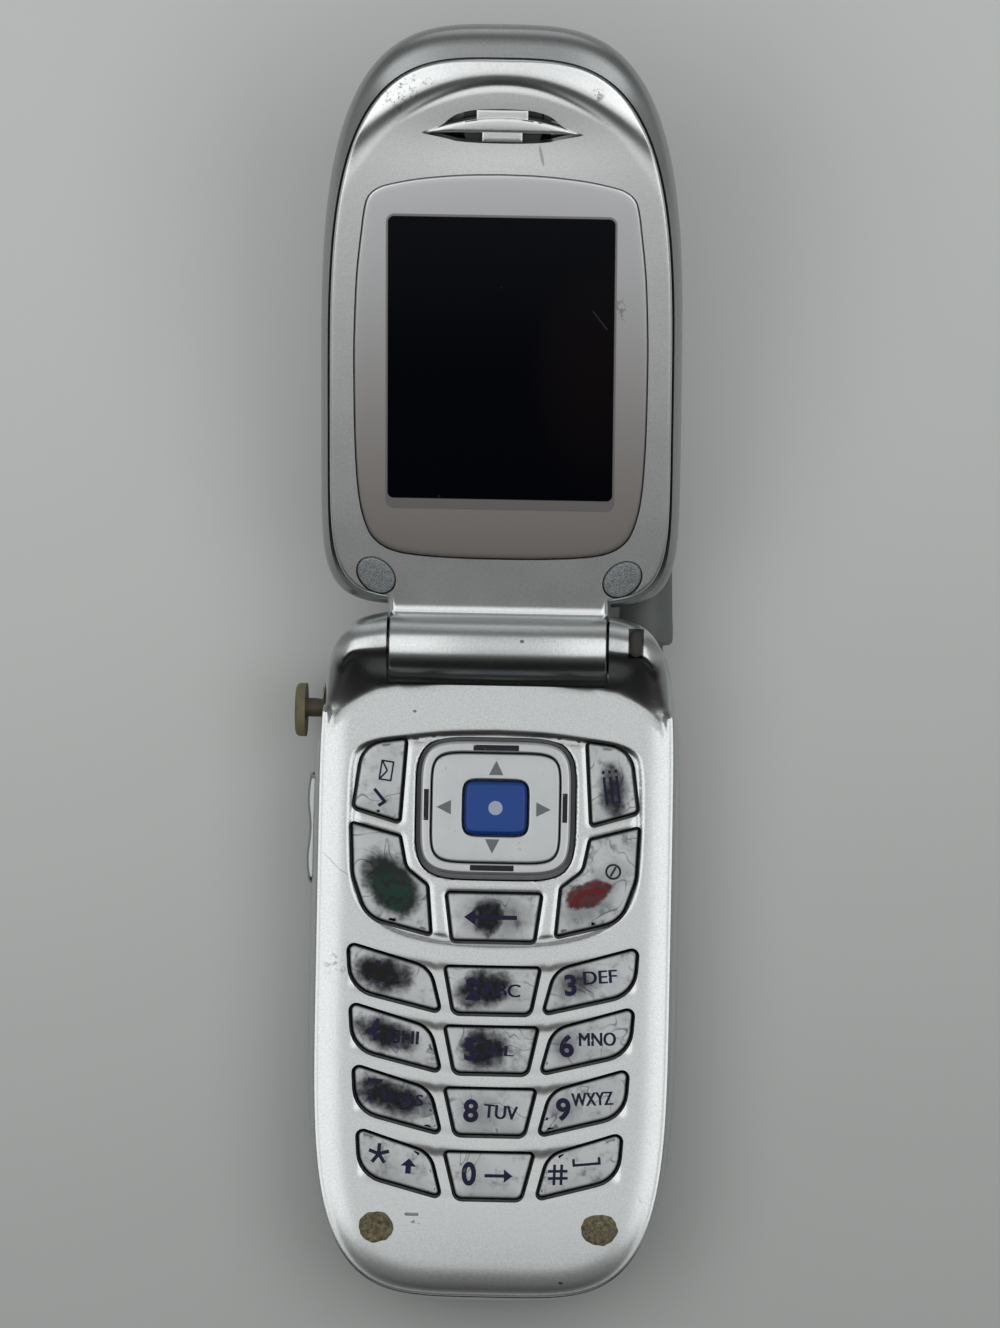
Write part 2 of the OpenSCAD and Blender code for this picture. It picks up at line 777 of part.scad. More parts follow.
module base_screws() {
    color(STEEL)
        for (p = screw_spots)
            difference() {
                union() {
                    post(p[0], p[1], [1, 2.2], head_r);
                    post(p[0], p[1], [2.2, ceiling_z - 1.2], thread_r - run_fit);
                }
                block([p[0] - 1.2, p[0] + 1.2], [p[1] - 0.2, p[1] + 0.2], [0, 1.5]);
                block([p[0] - 0.2, p[0] + 0.2], [p[1] - 1.2, p[1] + 1.2], [0, 1.5]);
            }
}

rocker_low = 8.9;
rocker_high = 12.1;
rocker_x = -base_half - 0.6;

module volume_rocker() {
    y = [-rocker_t - rocker_half, -rocker_t + rocker_half];
    color(SILVER) {
        block([rocker_x + 0.35, rocker_x + 2.3], y, [rocker_low, rocker_high]);
        block([rocker_x, rocker_x + 2.1], [y[0] + 0.5, -rocker_t - 0.6], [rocker_low + 0.3, rocker_high - 0.3]);
        block([rocker_x, rocker_x + 2.1], [-rocker_t + 0.6, y[1] - 0.5], [rocker_low + 0.3, rocker_high - 0.3]);
        block([rocker_x + 2.2, rocker_x + 2.8], [y[0] - 0.4, y[1] + 0.4], [rocker_low - 0.4, rocker_high + 0.3]);
    }
}

module base_bumpers() {
    color([0.49, 0.47, 0.36])
        for (p = bumper_spots)
            translate([p[0], p[1], 0])
                rotate([0, 0, p[0] > 0 ? 30 : -30])
                    plate(face_z, face_z + 0.35, egg(2.6, 0, -2.1, 2.1, 2.2, 2.2, 6));
}

module hinge_shaft() {
    color(STEEL)
        bar_x([-ear_x - ear_seat, -4], 0, axis_z, shaft_r);
}

module hinge_bush() {
    color(BLACK)
        difference() {
            bar_x([ear_x - 2.8, ear_x + ear_seat], 0, axis_z, bush_r);
            bar_x([0, ear_x + ear_seat + 1], 0, axis_z, bush_bore_r);
        }
}

// ---------------------------------------------------------------- lid
// Lid frame: x as in the base, y is the distance from the hinge axis, z is up from the lid's face.

module at_lid() {
    translate([0, 0, axis_z])
        rotate([rest_tilt, 0, 0])
            translate([0, 0, -face_drop])
                children();
}

// The lid thins towards its root.
function thin(s) = let (low = lid_root_t / lid_t) low + (1 - low) * smooth((s - 6) / 14);

function lid_ring(n, half, root, tip) = [
    for (p = egg(half, lid_widest, root, tip, 7, 3.3))
        [p[0], p[1], n * thin(p[1])]
];
rim_half = inner_half + groove;
rim_root = inner_root - groove;
rim_tip = inner_tip + groove;

module lid_form() {
    loft([
        lid_ring(-lid_t, lid_half - 6.5, lid_root + 6, lid_tip - 7.5),
        lid_ring(0.4 - lid_t, lid_half - 3.8, lid_root + 3.4, lid_tip - 4.3),
        lid_ring(1.5 - lid_t, lid_half - 1.6, lid_root + 1.4, lid_tip - 1.9),
        lid_ring(3.2 - lid_t, lid_half - 0.4, lid_root + 0.3, lid_tip - 0.6),
        lid_ring(-3.2, lid_half, lid_root, lid_tip),
        lid_ring(-1.6, lid_half - 0.2, lid_root + 0.3, lid_tip - 0.9),
        lid_ring(-0.35, rim_half + 0.25, rim_root - 0.2, rim_tip + 0.2)
    ]);
}

module lid_room() {
    w = lid_wall;
    loft([
        lid_ring(lid_floor, lid_half - 7, lid_root + 5 + w, lid_tip - 7 - w),
        lid_ring(lid_floor + 0.6, lid_half - 3.6 - w, lid_root + 2.4 + w, lid_tip - 3.6 - w),
        lid_ring(lid_floor + 2, lid_half - 0.9 - w, lid_root + 0.8 + w, lid_tip - 1.2 - w),
        lid_ring(-3.2, lid_half - w, lid_root + w, lid_tip - w),
        lid_ring(-inner_t - 0.4, rim_half, rim_root, rim_tip),
        lid_ring(0.5, rim_half, rim_root, rim_tip)
    ]);
}

lid_screw_spot = [15.6, 9.1];
glass = [9.5, 38, 51];

module lid_outer_cover() {
    color(SILVER)
        at_lid()
            difference() {
                union() {
                    difference() {
                        lid_form();
                        lid_room();
                    }
                    intersection() {
                        lid_form();
                        for (x = [-1, 1])
                            post(x * lid_screw_spot[0], lid_screw_spot[1], [-lid_t, -inner_t], 2.2);
                    }
                }
                for (x = [-1, 1])
                    post(x * lid_screw_spot[0], lid_screw_spot[1], [-3.9, 0], thread_r);
                block([-barrel_half - 0.3, barrel_half + 0.3], [0, inner_root + 1.3],
                      [-neck_t - 0.1, 1]);
                plate(-lid_t - 1, 0, slab(glass[0] + 0.1, glass[1] - 0.1, glass[2] + 0.1, 1.1));
            }
}

neck_t = 3.7;
ear_mid = 67.4;
ear_half = 10.2;

// Parabola over the half width, from its foot up to its crown, as points from right to left.
function bow(half, foot, crown, n = 12) = [
    for (i = [n:-1:-n]) let (u = i / n) [half * u, foot + (crown - foot) * (1 - u * u)]
];
function lens(half, mid, low, high) = let (over = bow(half, mid, high), under = bow(half, mid, low))
    concat(over, [for (i = [len(under) - 2:-1:1]) under[i]]);
ear_opening = lens(ear_half, ear_mid, 66.25, 70.3);
panel_outline = egg(panel_half, 37, 11.6, 62.1, 5.3, 4.9);
cap_outline = egg(2.85, 0, -2.25, 2.25, 2, 2, 8);

module at_caps() {
    for (x = [-1, 1])
        translate([x * lid_screw_spot[0], lid_screw_spot[1], 0])
            rotate([0, 0, x * 45])
                children();
}

module lid_inner_cover() {
    reach = barrel_half;
    color(SILVER)
        at_lid()
            difference() {
                union() {
                    plate(-inner_t, 0, egg(inner_half, lid_widest, inner_root, inner_tip, 5.5, 3.3));
                    block([-reach, reach], [0, inner_root + 4], [-inner_t, 0]);
                    block([-reach, reach], [0, inner_root + 1], [-neck_t, -inner_t + EPS]);
                    bar_x([-reach, reach], 0, face_drop, barrel_r);
                    intersection() {
                        bar_x([-reach, reach], 0, face_drop, barrel_r + 0.2);
                        block([-reach, reach], [0, inner_root], [-neck_t - 0.6, -neck_t + 1]);
                    }
                }
                plate(window_top, 1, swell(panel_outline, 0.1));
                plate(-inner_t - 1, 1, slab(view_half + 1.65, view_low - 0.9, view_high + 2.1, 1));
                plate(-inner_t - 1, 1, ear_opening);
                at_caps()
                    plate(-0.8, 1, swell(cap_outline, 0.1));
                for (x = [-1, 1])
                    post(x * lid_screw_spot[0], lid_screw_spot[1], [-inner_t - 1, 1], thread_r + 0.2);
                bar_x([-reach - 1, -2], 0, face_drop, can_r + run_fit);
                bar_x([2, reach + 1], 0, face_drop, bush_r + run_fit);
                block([3, 9.4], [0, inner_root + 2], [-3.2, -2]);
                plate(-0.35, 1, brow_outline);
            }
}

// Dark crescent above the earpiece.
brow_outline = let (over = bow(14.5, 67.5, 74.2), under = bow(14.5, 67.5, 72.9))
    concat(over, [for (i = [len(under) - 2:-1:1]) under[i]]);

module lid_window_panel() {
    color([0.66, 0.67, 0.68])
        at_lid()
            difference() {
                plate(-panel_t - 0.05, -0.05, panel_outline);
                plate(-panel_t - 1, 1, slab(view_half, view_low, view_high, 1));
            }
}

module main_window() {
    color([0.1, 0.1, 0.14, 0.5])
        at_lid()
            plate(-inner_t, window_top, slab(view_half + 1.5, view_low - 0.8, view_high + 2, 1));
}

module main_display() {
    color([0.02, 0.02, 0.05])
        at_lid()
            plate(display_low, display_top, slab(view_half + 1.2, view_low - 0.6, view_high + 1.8, 0.5));
}

module display_frame() {
    color(STEEL)
        at_lid()
            difference() {
                plate(display_low, display_top, slab(view_half + 2.6, view_low - 2, view_high + 3.2, 1));
                plate(display_low - 1, 0, slab(view_half + 1.3, view_low - 0.7, view_high + 1.9, 0.5));
            }
}

module outer_window() {
    color([0.08, 0.08, 0.1])
        at_lid()
            plate(-lid_t + 0.05, lid_floor, slab(glass[0], glass[1], glass[2], 1));
}

module outer_display() {
    color([0.02, 0.02, 0.05])
        at_lid()
            plate(lid_floor + 0.3, lid_board_low - press_fit, slab(glass[0] + 1, glass[1] - 2, glass[2] + 1, 0.5));
}

lid_board_head = 62.4;

module lid_board() {
    color(GREEN)
        at_lid()
            plate(lid_board_low, display_low - press_fit, slab(view_half + 2.8, view_low - 3, lid_board_head, 1.5));
}

module earpiece_grille() {
    over = bow(9.6, ear_mid, 69.2);
    under = bow(9.6, ear_mid, 67.85);
    color(SILVER)
        at_lid() {
            plate(-inner_t, -0.15, concat(over, [for (i = [len(under) - 2:-1:1]) under[i]]));
            intersection() {
                plate(-inner_t, -0.2, swell(ear_opening, -seat_gap / 2));
                union() {
                    block([-3, 3], [68.9, 72], [-3, 1]);
                    block([-2.4, 2.4], [65, 68.1], [-3, 1]);
                }
            }
        }
}

receiver_r = 5;
receiver_low = -4.9;

module earpiece_receiver() {
    color(BLACK)
        at_lid()
            post(0, 68.2, [receiver_low, -inner_t - seat_gap], receiver_r);
}

motor_r = 1.9;
motor_s = 67.4;
motor_n = -inner_t - 0.3 - motor_r;
motor_x = [receiver_r + 1, lid_half - 9.7];

module vibration_motor() {
    color(STEEL)
        at_lid()
            difference() {
                bar_x(motor_x, motor_s, motor_n, motor_r);
                bar_x([motor_x[1] - 2, motor_x[1] + 1], motor_s, motor_n, 0.3 + run_fit);
            }
}

module vibration_weight() {
    color(BRASS)
        at_lid() {
            bar_x([motor_x[1] - 1.9, motor_x[1] + 3.4], motor_s, motor_n, 0.3);
            intersection() {
                bar_x([motor_x[1] + 0.5, motor_x[1] + 3.2], motor_s, motor_n, motor_r);
                block([0, lid_half], [motor_s - 3, motor_s + 3], [motor_n - 3, motor_n]);
            }
        }
}

module lid_magnet() {
    color(STEEL)
        at_lid()
            block([-14, -9], [66, 70], [-inner_t - 1.6, -inner_t - seat_gap]);
}

module lid_screws() {
    color(STEEL)
        at_lid()
            for (x = [-1, 1]) {
                post(x * lid_screw_spot[0], lid_screw_spot[1], [-3.7, -1], thread_r - run_fit);
                post(x * lid_screw_spot[0], lid_screw_spot[1], [-1.15, -0.82], 0.95);
            }
}

module lid_screw_caps() {
    color([0.66, 0.68, 0.69])
        at_lid()
            at_caps()
                plate(-0.75, -0.05, cap_outline);
}

can_x = [-barrel_half, -2.2];
spring_r = 2.3;

module hinge_cartridge() {
    color(STEEL)
        difference() {
            bar_x(can_x, 0, axis_z, can_r);
            bar_x([can_x[0] - 1, can_x[1] + 1], 0, axis_z, shaft_r + run_fit);
            bar_x([can_x[0] + 2, can_x[1] - 1], 0, axis_z, can_r - 0.55);
        }
}

// Coil spring of round wire, swept along X round the shaft.
module hinge_spring() {
    turns = 6;
    per = 12;
    wire = 0.35;
    start = can_x[0] + 2.4;
    pitch = (can_x[1] - 1.4 - start) / turns;
    coil = [
        for (i = [0:turns * per])
            let (a = 360 * i / per, out = [0, cos(a), sin(a)])
            for (k = [0:5])
                [start + pitch * i / per, 0, axis_z] + out * (spring_r + wire * cos(60 * k))
                    + [wire * sin(60 * k), 0, 0]
    ];
    last = turns * per * 6;
    skin = [
        for (i = [0:turns * per - 1], k = [0:5])
            let (a = 6 * i + k, b = 6 * i + (k + 1) % 6)
            each [[a, b, b + 6], [a, b + 6, a + 6]]
    ];
    color(STEEL)
        polyhedron(points = coil, faces = concat(skin, [
            [5, 4, 3, 2, 1, 0],
            [for (k = [0:5]) last + k]
        ]));
}

module flex_cable() {
    color([0.75, 0.45, 0.12])
        at_lid() {
            difference() {
                bar_x([2.6, ear_x + ear_seat], 0, face_drop, bush_bore_r - 0.25);
                bar_x([2, ear_x + ear_seat + 1], 0, face_drop, bush_bore_r - 0.5);
            }
            block([3.4, 9], [bush_bore_r - 0.9, inner_root + 7], [-3.05, -2.85]);
            block([3.4, 9], [bush_bore_r - 0.9, bush_bore_r - 0.7], [-3.05, -0.9]);
        }
}

// ---------------------------------------------------------------- the model

lid_outer_cover();
lid_inner_cover();
lid_window_panel();
main_window();
main_display();
display_frame();
outer_window();
outer_display();
lid_board();
earpiece_grille();
earpiece_receiver();
vibration_motor();
vibration_weight();
lid_magnet();
lid_screws();
lid_screw_caps();
hinge_cartridge();
hinge_spring();
flex_cable();
base_front_cover();
base_rear_cover();
keypad_mat();
main_board();
shield_cans();
battery();
battery_latch();
battery_contacts();
antenna_stub();
antenna_whip();
headset_jack();
jack_cover_strap();
jack_cover();
charge_connector();
microphone();
ringer_speaker();
base_screws();
volume_rocker();
base_bumpers();
hinge_shaft();
hinge_bush();
key(mirrored(soft_key));  // key_ok
key(soft_key);  // key_menu
key(mirrored(call_key));  // key_talk
key(call_key);  // key_end
key(back_key);  // key_back
nav_ring();
nav_plate();
key_select();
key(mirrored(right_key(0)));  // key_1
key(middle_key(0));  // key_2
key(right_key(0));  // key_3
key(mirrored(right_key(1)));  // key_4
key(middle_key(1));  // key_5
key(right_key(1));  // key_6
key(mirrored(right_key(2)));  // key_7
key(middle_key(2));  // key_8
key(right_key(2));  // key_9
key(mirrored(right_key(3)));  // key_star
key(middle_key(3));  // key_0
key(right_key(3));  // key_hash
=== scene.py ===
"""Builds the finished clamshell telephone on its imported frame: covers, keys, window and stage."""

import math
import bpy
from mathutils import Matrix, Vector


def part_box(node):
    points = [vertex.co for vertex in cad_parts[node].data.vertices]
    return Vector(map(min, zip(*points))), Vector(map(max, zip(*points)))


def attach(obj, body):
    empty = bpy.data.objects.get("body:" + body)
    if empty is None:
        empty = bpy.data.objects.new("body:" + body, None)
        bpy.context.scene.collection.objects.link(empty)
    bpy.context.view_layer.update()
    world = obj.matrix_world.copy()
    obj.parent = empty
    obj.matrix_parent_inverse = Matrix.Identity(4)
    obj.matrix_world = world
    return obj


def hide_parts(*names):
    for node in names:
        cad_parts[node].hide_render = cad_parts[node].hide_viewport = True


bl_info = {
    "name": "Clamshell Telephone",
    "version": (1, 0, 0),
    "blender": (4, 5, 0),
    "location": "3D View > Sidebar > Phone",
    "description": "Makes the covers, keys, window and small parts of a clamshell telephone",
    "category": "Add Mesh",
}

import bmesh
import bpy
import numpy as np
from bpy.props import FloatProperty, FloatVectorProperty, PointerProperty
from mathutils import Matrix, Vector
from mathutils.geometry import delaunay_2d_cdt

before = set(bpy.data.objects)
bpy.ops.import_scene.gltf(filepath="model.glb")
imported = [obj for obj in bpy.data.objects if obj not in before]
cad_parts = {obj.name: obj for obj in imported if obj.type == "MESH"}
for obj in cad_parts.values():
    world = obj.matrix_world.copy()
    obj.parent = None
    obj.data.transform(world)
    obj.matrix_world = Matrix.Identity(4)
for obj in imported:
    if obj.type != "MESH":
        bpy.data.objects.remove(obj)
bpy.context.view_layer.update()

MM = 0.001
FACE = 14.3  # height of the base's face
AXIS = 14.6  # height of the hinge's axis
TILT = math.radians(20)  # rise of the open lid
LID_DROP = 0.3  # from the hinge's axis down to the lid's inner face
STRAP_SPOT = (17.5, 0.6)  # middle of the hand strap's slot
ROW_STEP = 0.866  # from row to row of a triangular grid, in parts of its spacing
NEEDLE = 0.03  # a triangle is a needle when twice its area is under this part of its longest edge's square


# ---------------------------------------------------------------- outlines, in millimetres


def run_along(curve):
    """Distance of each point from the first one, along the curve."""
    return np.concatenate([[0], np.cumsum(np.linalg.norm(np.diff(curve, axis=0), axis=1))])


def at_distances(curve, count):
    """The open curve with that many points at even distances."""
    run = run_along(curve)
    at = np.linspace(0, run[-1], count)
    return np.stack([np.interp(at, run, curve[:, 0]), np.interp(at, run, curve[:, 1])], 1)


def quarter(half, reach, n, steps):
    """Quarter of a superellipse from the right to the top, with points at even distances."""
    a = np.linspace(0, math.pi / 2, 900)
    p = np.stack([np.cos(a), np.sin(a)], 1)
    p *= ((p / [half, reach]) ** n).sum(1)[:, None] ** (-1 / n)
    p = at_distances(p, steps + 1)
    p[0], p[-1] = (half, 0), (0, reach)
    return p


def egg(half, mid, low, high, n_low, n_high, steps=52):
    """Closed outline of four superellipse quarters, counter-clockwise from the right."""
    up, down = quarter(half, high - mid, n_high, steps), quarter(half, mid - low, n_low, steps)
    return np.concatenate([up[:-1], (up * [-1, 1])[:0:-1], -down[:-1], (down * [1, -1])[:0:-1]]) + [0, mid]


def rounded(corners, n=7):
    """Outline through [x, y, radius] corners, counter-clockwise."""
    out = []
    k = len(corners)
    for i in range(k):
        a, b, d = (np.array(corners[j % k][:2], float) for j in (i - 1, i, i + 1))
        r = corners[i][2]
        if r < 0.01:
            out.append(b)
            continue
        u, v = (a - b) / np.linalg.norm(a - b), (d - b) / np.linalg.norm(d - b)
        half = math.acos(np.clip(u @ v, -1, 1)) / 2
        centre = b + (u + v) / np.linalg.norm(u + v) * r / math.sin(half)
        p, q = b + u * r / math.tan(half) - centre, b + v * r / math.tan(half) - centre
        start = math.atan2(p[1], p[0])
        turn = (math.atan2(q[1], q[0]) - start + 3 * math.pi) % (2 * math.pi) - math.pi
        angles = [start + turn * t for t in np.linspace(0, 1, n)]
        out += [centre + r * np.array([math.cos(a), math.sin(a)]) for a in angles]
    return np.array(out)


def moved_in(corners, f):
    """Corners of the same outline moved inwards by f."""
    p = np.array([c[:2] for c in corners], float)
    a, b = p - np.roll(p, 1, 0), np.roll(p, -1, 0) - p
    turns = a[:, 0] * b[:, 1] - a[:, 1] * b[:, 0]
    out = []
    for q, c, t in zip(swell(p, -f), corners, turns):
        out.append([*q, max(c[2] - f * (1 if t > 0 else -1), min(c[2], 0.22))])
    return out


def family(corners, insets, step=0.5, flip=False):
    """Loops round the same corners at several insets, with points that match one another."""
    first = rounded(corners)
    counts = [max(1, math.ceil(np.linalg.norm(b - a) / step)) for a, b in zip(first, np.roll(first, -1, 0))]
    out = []
    for f in insets:
        loop = rounded(moved_in(corners, f))
        sides = zip(loop, np.roll(loop, -1, 0), counts)
        loop = np.concatenate([a + (b - a) * np.arange(n)[:, None] / n for a, b, n in sides])
        out.append(mirrored(loop) if flip else loop)
    return out


def fine_grid(x, y, step):
    """Points of a triangular grid over a rectangle."""
    rows, columns = np.arange(*y, step * ROW_STEP), np.arange(*x, step)
    return np.array([(a + (i % 2) * step / 2, b) for i, b in enumerate(rows) for a in columns])


def rims_of(loop, insets):
    return [swell(loop, -f) for f in insets]


def slab(half, low, high, r, n=7):
    return rounded([[half, low, r], [half, high, r], [-half, high, r], [-half, low, r]], n)


def turned(p, degrees, x=0.0, y=0.0):
    """Plan points turned counter-clockwise and then moved."""
    c, s = math.cos(math.radians(degrees)), math.sin(math.radians(degrees))
    return np.asarray(p, float) @ np.array([[c, s], [-s, c]]) + [x, y]


def round_points(n):
    """Points round the unit circle, counter-clockwise."""
    a = np.linspace(0, 2 * math.pi, n, endpoint=False)
    return np.stack([np.cos(a), np.sin(a)], 1)


def oval(x, y, rx, ry, n=32, turn=0):
    return turned(round_points(n) * [rx, ry], turn, x, y)


def mirrored(p):
    return (np.asarray(p) * [-1, 1])[::-1].copy()


def both_sides(right):
    """Closed outline from its right half, which runs from the bottom to the top."""
    return np.concatenate([right, mirrored(right)[1:]])


def swell(p, d):
    """The outline moved outwards by d."""
    a = p - np.roll(p, 1, 0)
    b = np.roll(p, -1, 0) - p
    a /= np.linalg.norm(a, axis=1)[:, None]
    b /= np.linalg.norm(b, axis=1)[:, None]
    m = np.stack([a[:, 1] + b[:, 1], -a[:, 0] - b[:, 0]], 1)
    return p + d * m / (1 + (a * b).sum(1))[:, None]


def spaced(loop, step):
    """The outline with its long stretches divided, so that no stretch is longer than step."""
    out = []
    for a, b in zip(loop, np.roll(loop, -1, 0)):
        n = max(1, math.ceil(np.linalg.norm(b - a) / step))
        out += [a + (b - a) * i / n for i in range(n)]
    return np.array(out)


def even(curve, step):
    """The open curve with points at even distances."""
    return at_distances(curve, max(2, round(run_along(curve)[-1] / step)))


def inside(points, loop, far=3.0):
    """Signed distance from an outline, positive inside, no lower than -far."""
    out = np.full(len(points), -float(far))
    low, high = loop.min(0) - far, loop.max(0) + far
    near = np.nonzero(((points > low) & (points < high)).all(1))[0]
    a, b = loop, np.roll(loop, -1, 0)
    ab = b - a
    length = (ab**2).sum(1)
    for part in np.array_split(near, max(1, len(near) * len(loop) // 2000000)):
        p = points[part][:, None, :]
        t = np.clip(((p - a) * ab).sum(2) / length, 0, 1)
        d = np.sqrt((((a + t[..., None] * ab) - p) ** 2).sum(2)).min(1)
        crosses = (a[:, 1] > p[..., 1]) != (b[:, 1] > p[..., 1])
        with np.errstate(divide="ignore", invalid="ignore"):
            cut = a[:, 0] + (p[..., 1] - a[:, 1]) * ab[:, 0] / ab[:, 1]
        odd = (crosses & (p[..., 0] < cut)).sum(1) % 2 == 1
        out[part] = np.where(odd, d, np.maximum(-d, -far))
    return out


def ease(u):
    u = np.clip(u, 0, 1)
    return u * u * (3 - 2 * u)


def soft_max(a, b, k):
    h = np.clip(0.5 + 0.5 * (a - b) / k, 0, 1)
    return b + (a - b) * h + k * h * (1 - h)


def shoulder(d, r):
    """Drop of a rounded edge of radius r at distance d inside the outline."""
    u = np.clip(r - d, 0, r)
    return r - np.sqrt(np.maximum(r * r - u * u, 0))


# ---------------------------------------------------------------- meshes


def without_needles(verts, faces):
    """The same plan, with the long edge of each needle-thin triangle turned into its neighbour."""
    faces, sides = faces.tolist(), {}

    def sides_of(face):
        return [frozenset(face[:i] + face[i + 1:]) for i in range(3)]

    for n, f in enumerate(faces):
        for side in sides_of(f):
            sides.setdefault(side, set()).add(n)
    a, b, c = (verts[np.array(faces)[:, i]] for i in range(3))
    area = np.abs((b[:, 0] - a[:, 0]) * (c[:, 1] - a[:, 1]) - (b[:, 1] - a[:, 1]) * (c[:, 0] - a[:, 0]))
    longest = np.max([((a - b) ** 2).sum(1), ((b - c) ** 2).sum(1), ((c - a) ** 2).sum(1)], 0)
    for n in np.nonzero(area < NEEDLE * longest)[0].tolist():
        f = faces[n]
        i = max(range(3), key=lambda i: np.linalg.norm(verts[f[i - 1]] - verts[f[i - 2]]))
        tip, long_side = f[i], frozenset(f[:i] + f[i + 1:])
        other = sides[long_side] - {n}
        if len(other) != 1:
            continue
        m = other.pop()
        far = next(v for v in faces[m] if v not in long_side)
        left, right = sorted(long_side)
        for k, new in ((n, [tip, left, far]), (m, [tip, far, right])):
            for side in sides_of(faces[k]):
                sides[side].discard(k)
            faces[k] = new
            for side in sides_of(new):
                sides.setdefault(side, set()).add(k)
    return np.array(faces)


GRID_CELL = 0.3  # grid points keep about this far from the extra points


def triangles(outline, holes=(), lines=(), spacing=0.8, keep_off=0.35):
    """Plan of a surface: its points, its triangles, and the point numbers along the outline and each hole.

    lines are further points that the surface should have, such as those along a crease."""
    loops = [np.asarray(loop) for loop in (outline, *holes)]
    starts = np.cumsum([0] + [len(loop) for loop in loops])
    numbers = [range(start, end) for start, end in zip(starts, starts[1:])]
    edges = [side for run in numbers for side in zip(run, [*run[1:], run[0]])]
    extra = [np.asarray(p) for p in lines if len(p)]
    low, high = loops[0].min(0), loops[0].max(0)
    grid = fine_grid((low[0], high[0]), (low[1], high[1]), spacing) if spacing else np.zeros((0, 2))
    free = np.concatenate([*extra, grid])

    def depth(points):
        """Distance from the nearest edge, positive on the surface."""
        return np.min([inside(points, loops[0])] + [-inside(points, h) for h in loops[1:]], 0)

    is_grid = np.arange(len(free)) >= len(free) - len(grid)
    kept = depth(free) > np.where(is_grid, keep_off * spacing, 0.06)
    taken, chosen = set(), []
    for p, loose in zip(free[kept], is_grid[kept]):
        i, j = round(p[0] / GRID_CELL), round(p[1] / GRID_CELL)
        if not loose:
            taken.add((i, j))
        elif any((a, b) in taken for a in (i - 1, i, i + 1) for b in (j - 1, j, j + 1)):
            continue
        chosen.append(p)
    points = np.concatenate([*loops, np.array(chosen).reshape(-1, 2)])
    verts, _, faces, origin, _, _ = delaunay_2d_cdt([Vector(p) for p in points], edges, [], 0, 1e-6, True)
    verts = np.array([tuple(v) for v in verts])
    faces = np.array([f for f in faces if len(f) == 3])
    faces = faces[depth(verts[faces].mean(1)) > 0]
    if spacing:
        faces = without_needles(verts, faces)
    place = {old: new for new, olds in enumerate(origin) for old in olds}
    return verts, faces, [np.array([place[i] for i in run]) for run in numbers]


class Shape:
    """Collects the points and faces of one piece, in millimetres."""

    def __init__(self):
        self.verts, self.faces, self.count = [], [], 0

    def points(self, verts):
        first = self.count
        self.verts.append(np.asarray(verts, float))
        self.count += len(verts)
        return first + np.arange(len(verts))

    def level(self, loop, height):
        """The points of an outline, all at one height."""
        return self.points(np.column_stack([loop, np.full(len(loop), height)]))

    def wall(self, *loops):
        """Faces from loop to loop, all of the same length, outside to the right of the loops' direction."""
        for low, high in zip(loops, loops[1:]):
            n = len(low)
            self.faces += [(low[i], low[(i + 1) % n], high[(i + 1) % n], high[i]) for i in range(n)]

    def bar(self, low, high):
        """A closed bar between two loops."""
        self.wall(low, high)
        self.faces += [tuple(low[::-1]), tuple(high)]
        return self

    def skin(self, plan, height, up=True, rim=None):
        """Adds a plan at the given heights.

        rim gives the loops whose points exist already, as {loop number: points}."""
        verts, faces, rings = plan
        z = height(verts) if callable(height) else np.full(len(verts), float(height))
        ids = np.full(len(verts), -1)
        for k, known in (rim or {}).items():
            ids[rings[k]] = known
        new = np.nonzero(ids < 0)[0]
        ids[new] = self.points(np.column_stack([verts[new], z[new]]))
        turned = ids[faces]
        a, b, c = (verts[faces[:, i]] for i in range(3))
        area = (b[:, 0] - a[:, 0]) * (c[:, 1] - a[:, 1]) - (b[:, 1] - a[:, 1]) * (c[:, 0] - a[:, 0])
        flip = (area < 0) == up
        turned[flip] = turned[flip][:, ::-1]
        self.faces += [tuple(f) for f in turned]
        return [ids[r] for r in rings]

    def placed(self, move):
        self.verts = [move(np.concatenate(self.verts))]
        return self

    def mesh(self, name):
        """The collected points and faces as a mesh, in metres."""
        mesh = bpy.data.meshes.new(name)
        verts = np.concatenate(self.verts) * MM
        mesh.from_pydata(verts.tolist(), [], [tuple(int(i) for i in f) for f in self.faces])
        return mesh

    def object(self, name, finish, body, nodes=(), slot=None, sharp=35, merge=False):
        mesh = self.mesh(name)
        mesh.validate()
        if merge:
            work = bmesh.new()
            work.from_mesh(mesh)
            bmesh.ops.remove_doubles(work, verts=work.verts, dist=1e-7)
            work.to_mesh(mesh)
            work.free()
        return finished(mesh, name, finish, body, nodes, slot, sharp)


def finished(mesh, name, finish, body, nodes=(), slot=None, sharp=35):
    """Makes a mesh a piece of the telephone.

    It gets its shading, its material, its body and the nodes that it stands for. slot is not used."""
    mesh.name = name
    mesh.shade_smooth()
    mesh.set_sharp_from_angle(angle=math.radians(sharp))
    mesh.materials.clear()
    mesh.materials.append(finish)
    piece = bpy.data.objects.new(name, mesh)
    bpy.context.scene.collection.objects.link(piece)
    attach(piece, body)
    if nodes:
        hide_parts(*nodes)
    return piece


def lid_place(p):
    """From the lid's own frame, x, distance from the axis and height over its face, to the row's frame."""
    n = p[:, 2] - LID_DROP
    c, s = math.cos(TILT), math.sin(TILT)
    return np.column_stack([p[:, 0], p[:, 1] * c - n * s, AXIS + p[:, 1] * s + n * c])


